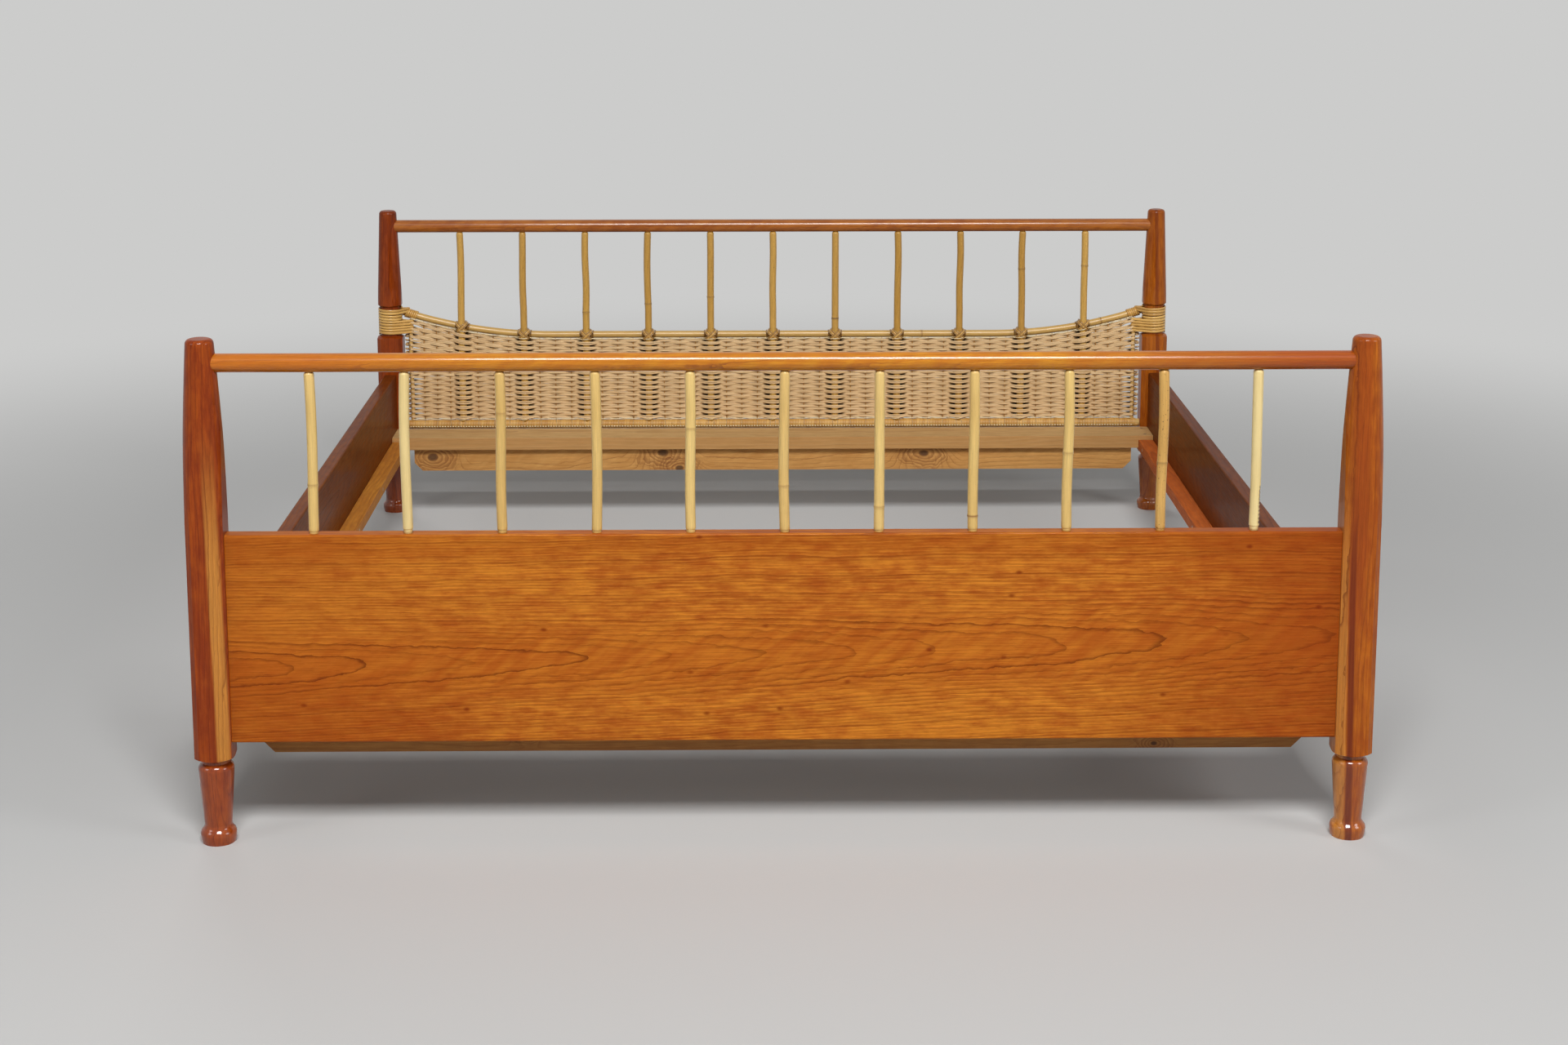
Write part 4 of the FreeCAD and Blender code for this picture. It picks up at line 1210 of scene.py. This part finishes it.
def neckOutline(turnType, side):  # one turn round the neck, with whatever it takes in beside it
    look = bindLook
    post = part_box("head_post_right")[1].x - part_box("head_post_right")[0].x
    neck = post / 2 - look["neckCover"] - look["neckThick"] / 2
    angles = [2 * math.pi * i / look["segments"] for i in range(look["segments"])]
    if turnType == "stake":
        partner, held = Vector((-(headPostX - sideStakeX), 0)), sideStakeRadius
    elif turnType == "crest":
        partner, held = Vector((crestHigh.x - look["crestEnd"] - headPostX, crestY - headY)), crestRadius
    else:
        partner, held = None, 0
    if partner is not None:
        small = held + look["neckThick"] * 0.4
        heading = math.atan2(partner.y, partner.x) % (2 * math.pi)
        opening = math.acos((neck - small) / partner.length)
        angles = sorted(angles + [heading - opening, heading + opening])
    places = []
    for angle in angles:
        normal = Vector((math.cos(angle), math.sin(angle)))
        onNeck = neckPlace(angle, normal, normal * neck, side)
        if partner is None:
            places.append(onNeck)
            continue
        beside = neckPlace(angle, normal, partner + normal * small, side)
        places.append(beside if abs(angle - heading) < opening else onNeck)
        if abs(angle - (heading - opening)) < 1e-9:  # the strand leaves the neck
            places.append(beside)
        if abs(angle - (heading + opening)) < 1e-9:  # and comes back to it
            places.insert(-1, beside)
    return places


def makeNeckBinding(bag, side, draw):
    look = bindLook
    low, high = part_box("neck_bindings")
    edge = look["neckWide"] * look["neckEdge"]
    pitch = (high.z - low.z - 2 * edge) / look["neckTurns"]
    path, normals, tones = [], [], []
    whole = math.ceil(look["neckTurns"])
    for turn in range(whole):
        kind = "stake" if turn < look["stakeTurns"] else "plain"
        if whole - 1 - look["crestTurns"] <= turn < whole - 1:
            kind = "crest"
        tone = (draw.uniform(0.2, 0.9), 0.0, max(0.0, draw.uniform(-0.3, 0.5)))
        if turn == look["paleTurn"]:
            tone = (1.0, 0.0, 0.0)
        sag = draw.uniform(-0.0006, 0.0006)
        for share, spot, normal in neckOutline(kind, side):
            if turn + share > look["neckTurns"]:
                break
            z = low.z + edge + pitch * (turn + share) + sag * math.sin(math.pi * share)
            path.append(Vector((side * headPostX, headY, z)) + spot)
            normals.append(normal)
            tones.append(tone)
    addStrand(bag, path, normals, look["neckWide"], look["neckThick"], tones, 10, square=0.85)


def makeCrestBinding(bag, side, draw):
    look = bindLook
    segments = look["crestSegments"]
    outer = crestHigh.x - look["crestInset"]
    length = look["crestPitch"] * look["crestWraps"]
    path, normals, tones = [], [], []
    for i in range(int(look["crestWraps"] * segments) + 1):
        turn = 2 * math.pi * i / segments
        x = side * (outer - length + look["crestPitch"] * i / segments)
        up = crestTangent(x).cross(backward)
        normal = backward * math.cos(turn) + up * math.sin(turn)
        if i % segments == 0:
            tone = (draw.uniform(0.3, 0.9), 0.0, max(0.0, draw.uniform(-0.3, 0.4)))
        path.append(Vector((x, crestY, crestHeight(x))) + normal * (crestRadius + look["crestRoom"]))
        normals.append(normal)
        tones.append(tone)
    addStrand(bag, path, normals, look["crestWide"], look["crestThick"], tones, 8, square=0.8)


headPostX = (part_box("head_post_right")[0].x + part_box("head_post_right")[1].x) / 2
bindDraw = random.Random(bindLook["seed"])
neckBag, crestBag = newBag(), newBag()
for side in (-1, 1):
    makeNeckBinding(neckBag, side, bindDraw)
    makeCrestBinding(crestBag, side, bindDraw)
makePiece("neckBindings", neckBag, cane["goldenCane"], "cane_binding", "neck_bindings")
makePiece("crestBindings", crestBag, cane["goldenCane"], "cane_binding", "crest_bindings")
print("bindings")


# floor, light and camera

stageLook = {
    "floorHalf": 40.0,
    "floor": (196, 196, 195),
    "paleFrom": 1.5,  # the floor fades into the pale background between these distances from the middle
    "paleTo": 4.0,
    "background": (204, 204, 203),
    "worldLight": 0.06,
}
lamps = {  # place, aim, size across and deep, power
    "keySoftbox": ((0.2, -5.6, 6.0), (0.0, -0.3, 0.4), (3.0, 1.8), 520.0),
    "leftSoftbox": ((-5.2, -3.8, 3.2), (0.0, -0.4, 0.4), (2.0, 2.0), 50.0),
    "rightSoftbox": ((5.2, -3.4, 3.2), (0.0, -0.4, 0.4), (2.0, 2.0), 90.0),
    "backSoftbox": ((-2.5, 6.0, 4.0), (0.0, 0.6, 0.4), (3.0, 2.0), 100.0),
}
cameraLook = {
    "place": (-0.0544, -4.8427, 1.5901),
    "pitch": 9.839,  # degrees below level
    "yaw": 0.793,  # degrees to the right
    "focal": 3030.0,  # in pixels of a frame 1920 wide
    "shift": -300.0,  # in the same pixels
    "frameWide": 1920.0,
}


def backgroundRays(tree):  # rays that see the background rather than light the bed
    rays = addNode(tree, "LightPath")
    seen = calc(tree, "MAXIMUM", rays["Is Camera Ray"], rays["Is Transmission Ray"])
    return calc(tree, "MAXIMUM", seen, rays["Is Glossy Ray"])


def makeFloor():
    half = stageLook["floorHalf"]
    corners = [(-half, -half, 0), (half, -half, 0), (half, half, 0), (-half, half, 0)]
    mesh = bpy.data.meshes.new("studioFloor")
    mesh.from_pydata(corners, [], [(0, 1, 2, 3)])
    floor = bpy.data.objects.new("studioFloor", mesh)
    bpy.context.scene.collection.objects.link(floor)
    material, tree, shader = newMaterial("paleFloor")
    place = addNode(tree, "TexCoord")["Object"]
    cloud = noiseAt(tree, place, 2)[0]
    base = tint(*stageLook["floor"])
    deeper = tuple(value * 0.985 for value in base[:3]) + (1.0,)
    colour = blendTint(tree, cloud, deeper, base)
    feed(tree, shader, {"Base Color": colour, "Roughness": 0.7, "Specular IOR Level": 0.2})
    away = addNode(tree, "VectorMath", {0: place}, operation="LENGTH")["Value"]
    far = spread(tree, away, stageLook["paleFrom"], stageLook["paleTo"])
    pale = addNode(tree, "Emission", {"Color": tint(*stageLook["background"])})[0]
    fade = calc(tree, "MULTIPLY", far, backgroundRays(tree))
    mixed = addNode(tree, "MixShader", {0: fade, 1: shader.outputs[0], 2: pale})[0]
    feed(tree, tree.nodes["Material Output"], {"Surface": mixed})
    mesh.materials.append(material)


def makeWorld():
    world = bpy.data.worlds.new("studio")
    bpy.context.scene.world = world
    world.use_nodes = True
    tree = world.node_tree
    tree.nodes.clear()
    light, background = stageLook["worldLight"], tint(*stageLook["background"])
    soft = addNode(tree, "Background", {"Color": (1, 1, 1, 1), "Strength": light})[0]
    pale = addNode(tree, "Background", {"Color": background, "Strength": 1.0})[0]
    mixed = addNode(tree, "MixShader", {0: backgroundRays(tree), 1: soft, 2: pale})[0]
    addNode(tree, "OutputWorld", {0: mixed})


def makeLamps():
    for name, (place, aim, size, watts) in lamps.items():
        lamp = bpy.data.lights.new(name, "AREA")
        lamp.shape = "RECTANGLE"
        lamp.size, lamp.size_y = size
        lamp.energy = watts
        holder = bpy.data.objects.new(name, lamp)
        holder.location = place
        holder.rotation_euler = (Vector(aim) - Vector(place)).to_track_quat("-Z", "Y").to_euler()
        holder.visible_glossy = name != "backSoftbox"  # no white rim along the top rails
        bpy.context.scene.collection.objects.link(holder)


def makeCamera():
    look = cameraLook
    camera = bpy.data.cameras.new("camera")
    camera.sensor_width = 36.0
    camera.lens = look["focal"] / look["frameWide"] * camera.sensor_width
    camera.shift_y = look["shift"] / look["frameWide"]
    camera.clip_end = 200.0
    holder = bpy.data.objects.new("camera", camera)
    holder.location = look["place"]
    holder.rotation_euler = (math.radians(90 - look["pitch"]), 0, math.radians(-look["yaw"]))
    bpy.context.scene.collection.objects.link(holder)
    bpy.context.scene.camera = holder


makeFloor()
makeWorld()
makeLamps()
makeCamera()
bpy.context.scene.view_settings.view_transform = "Standard"
print("floor, light and camera")
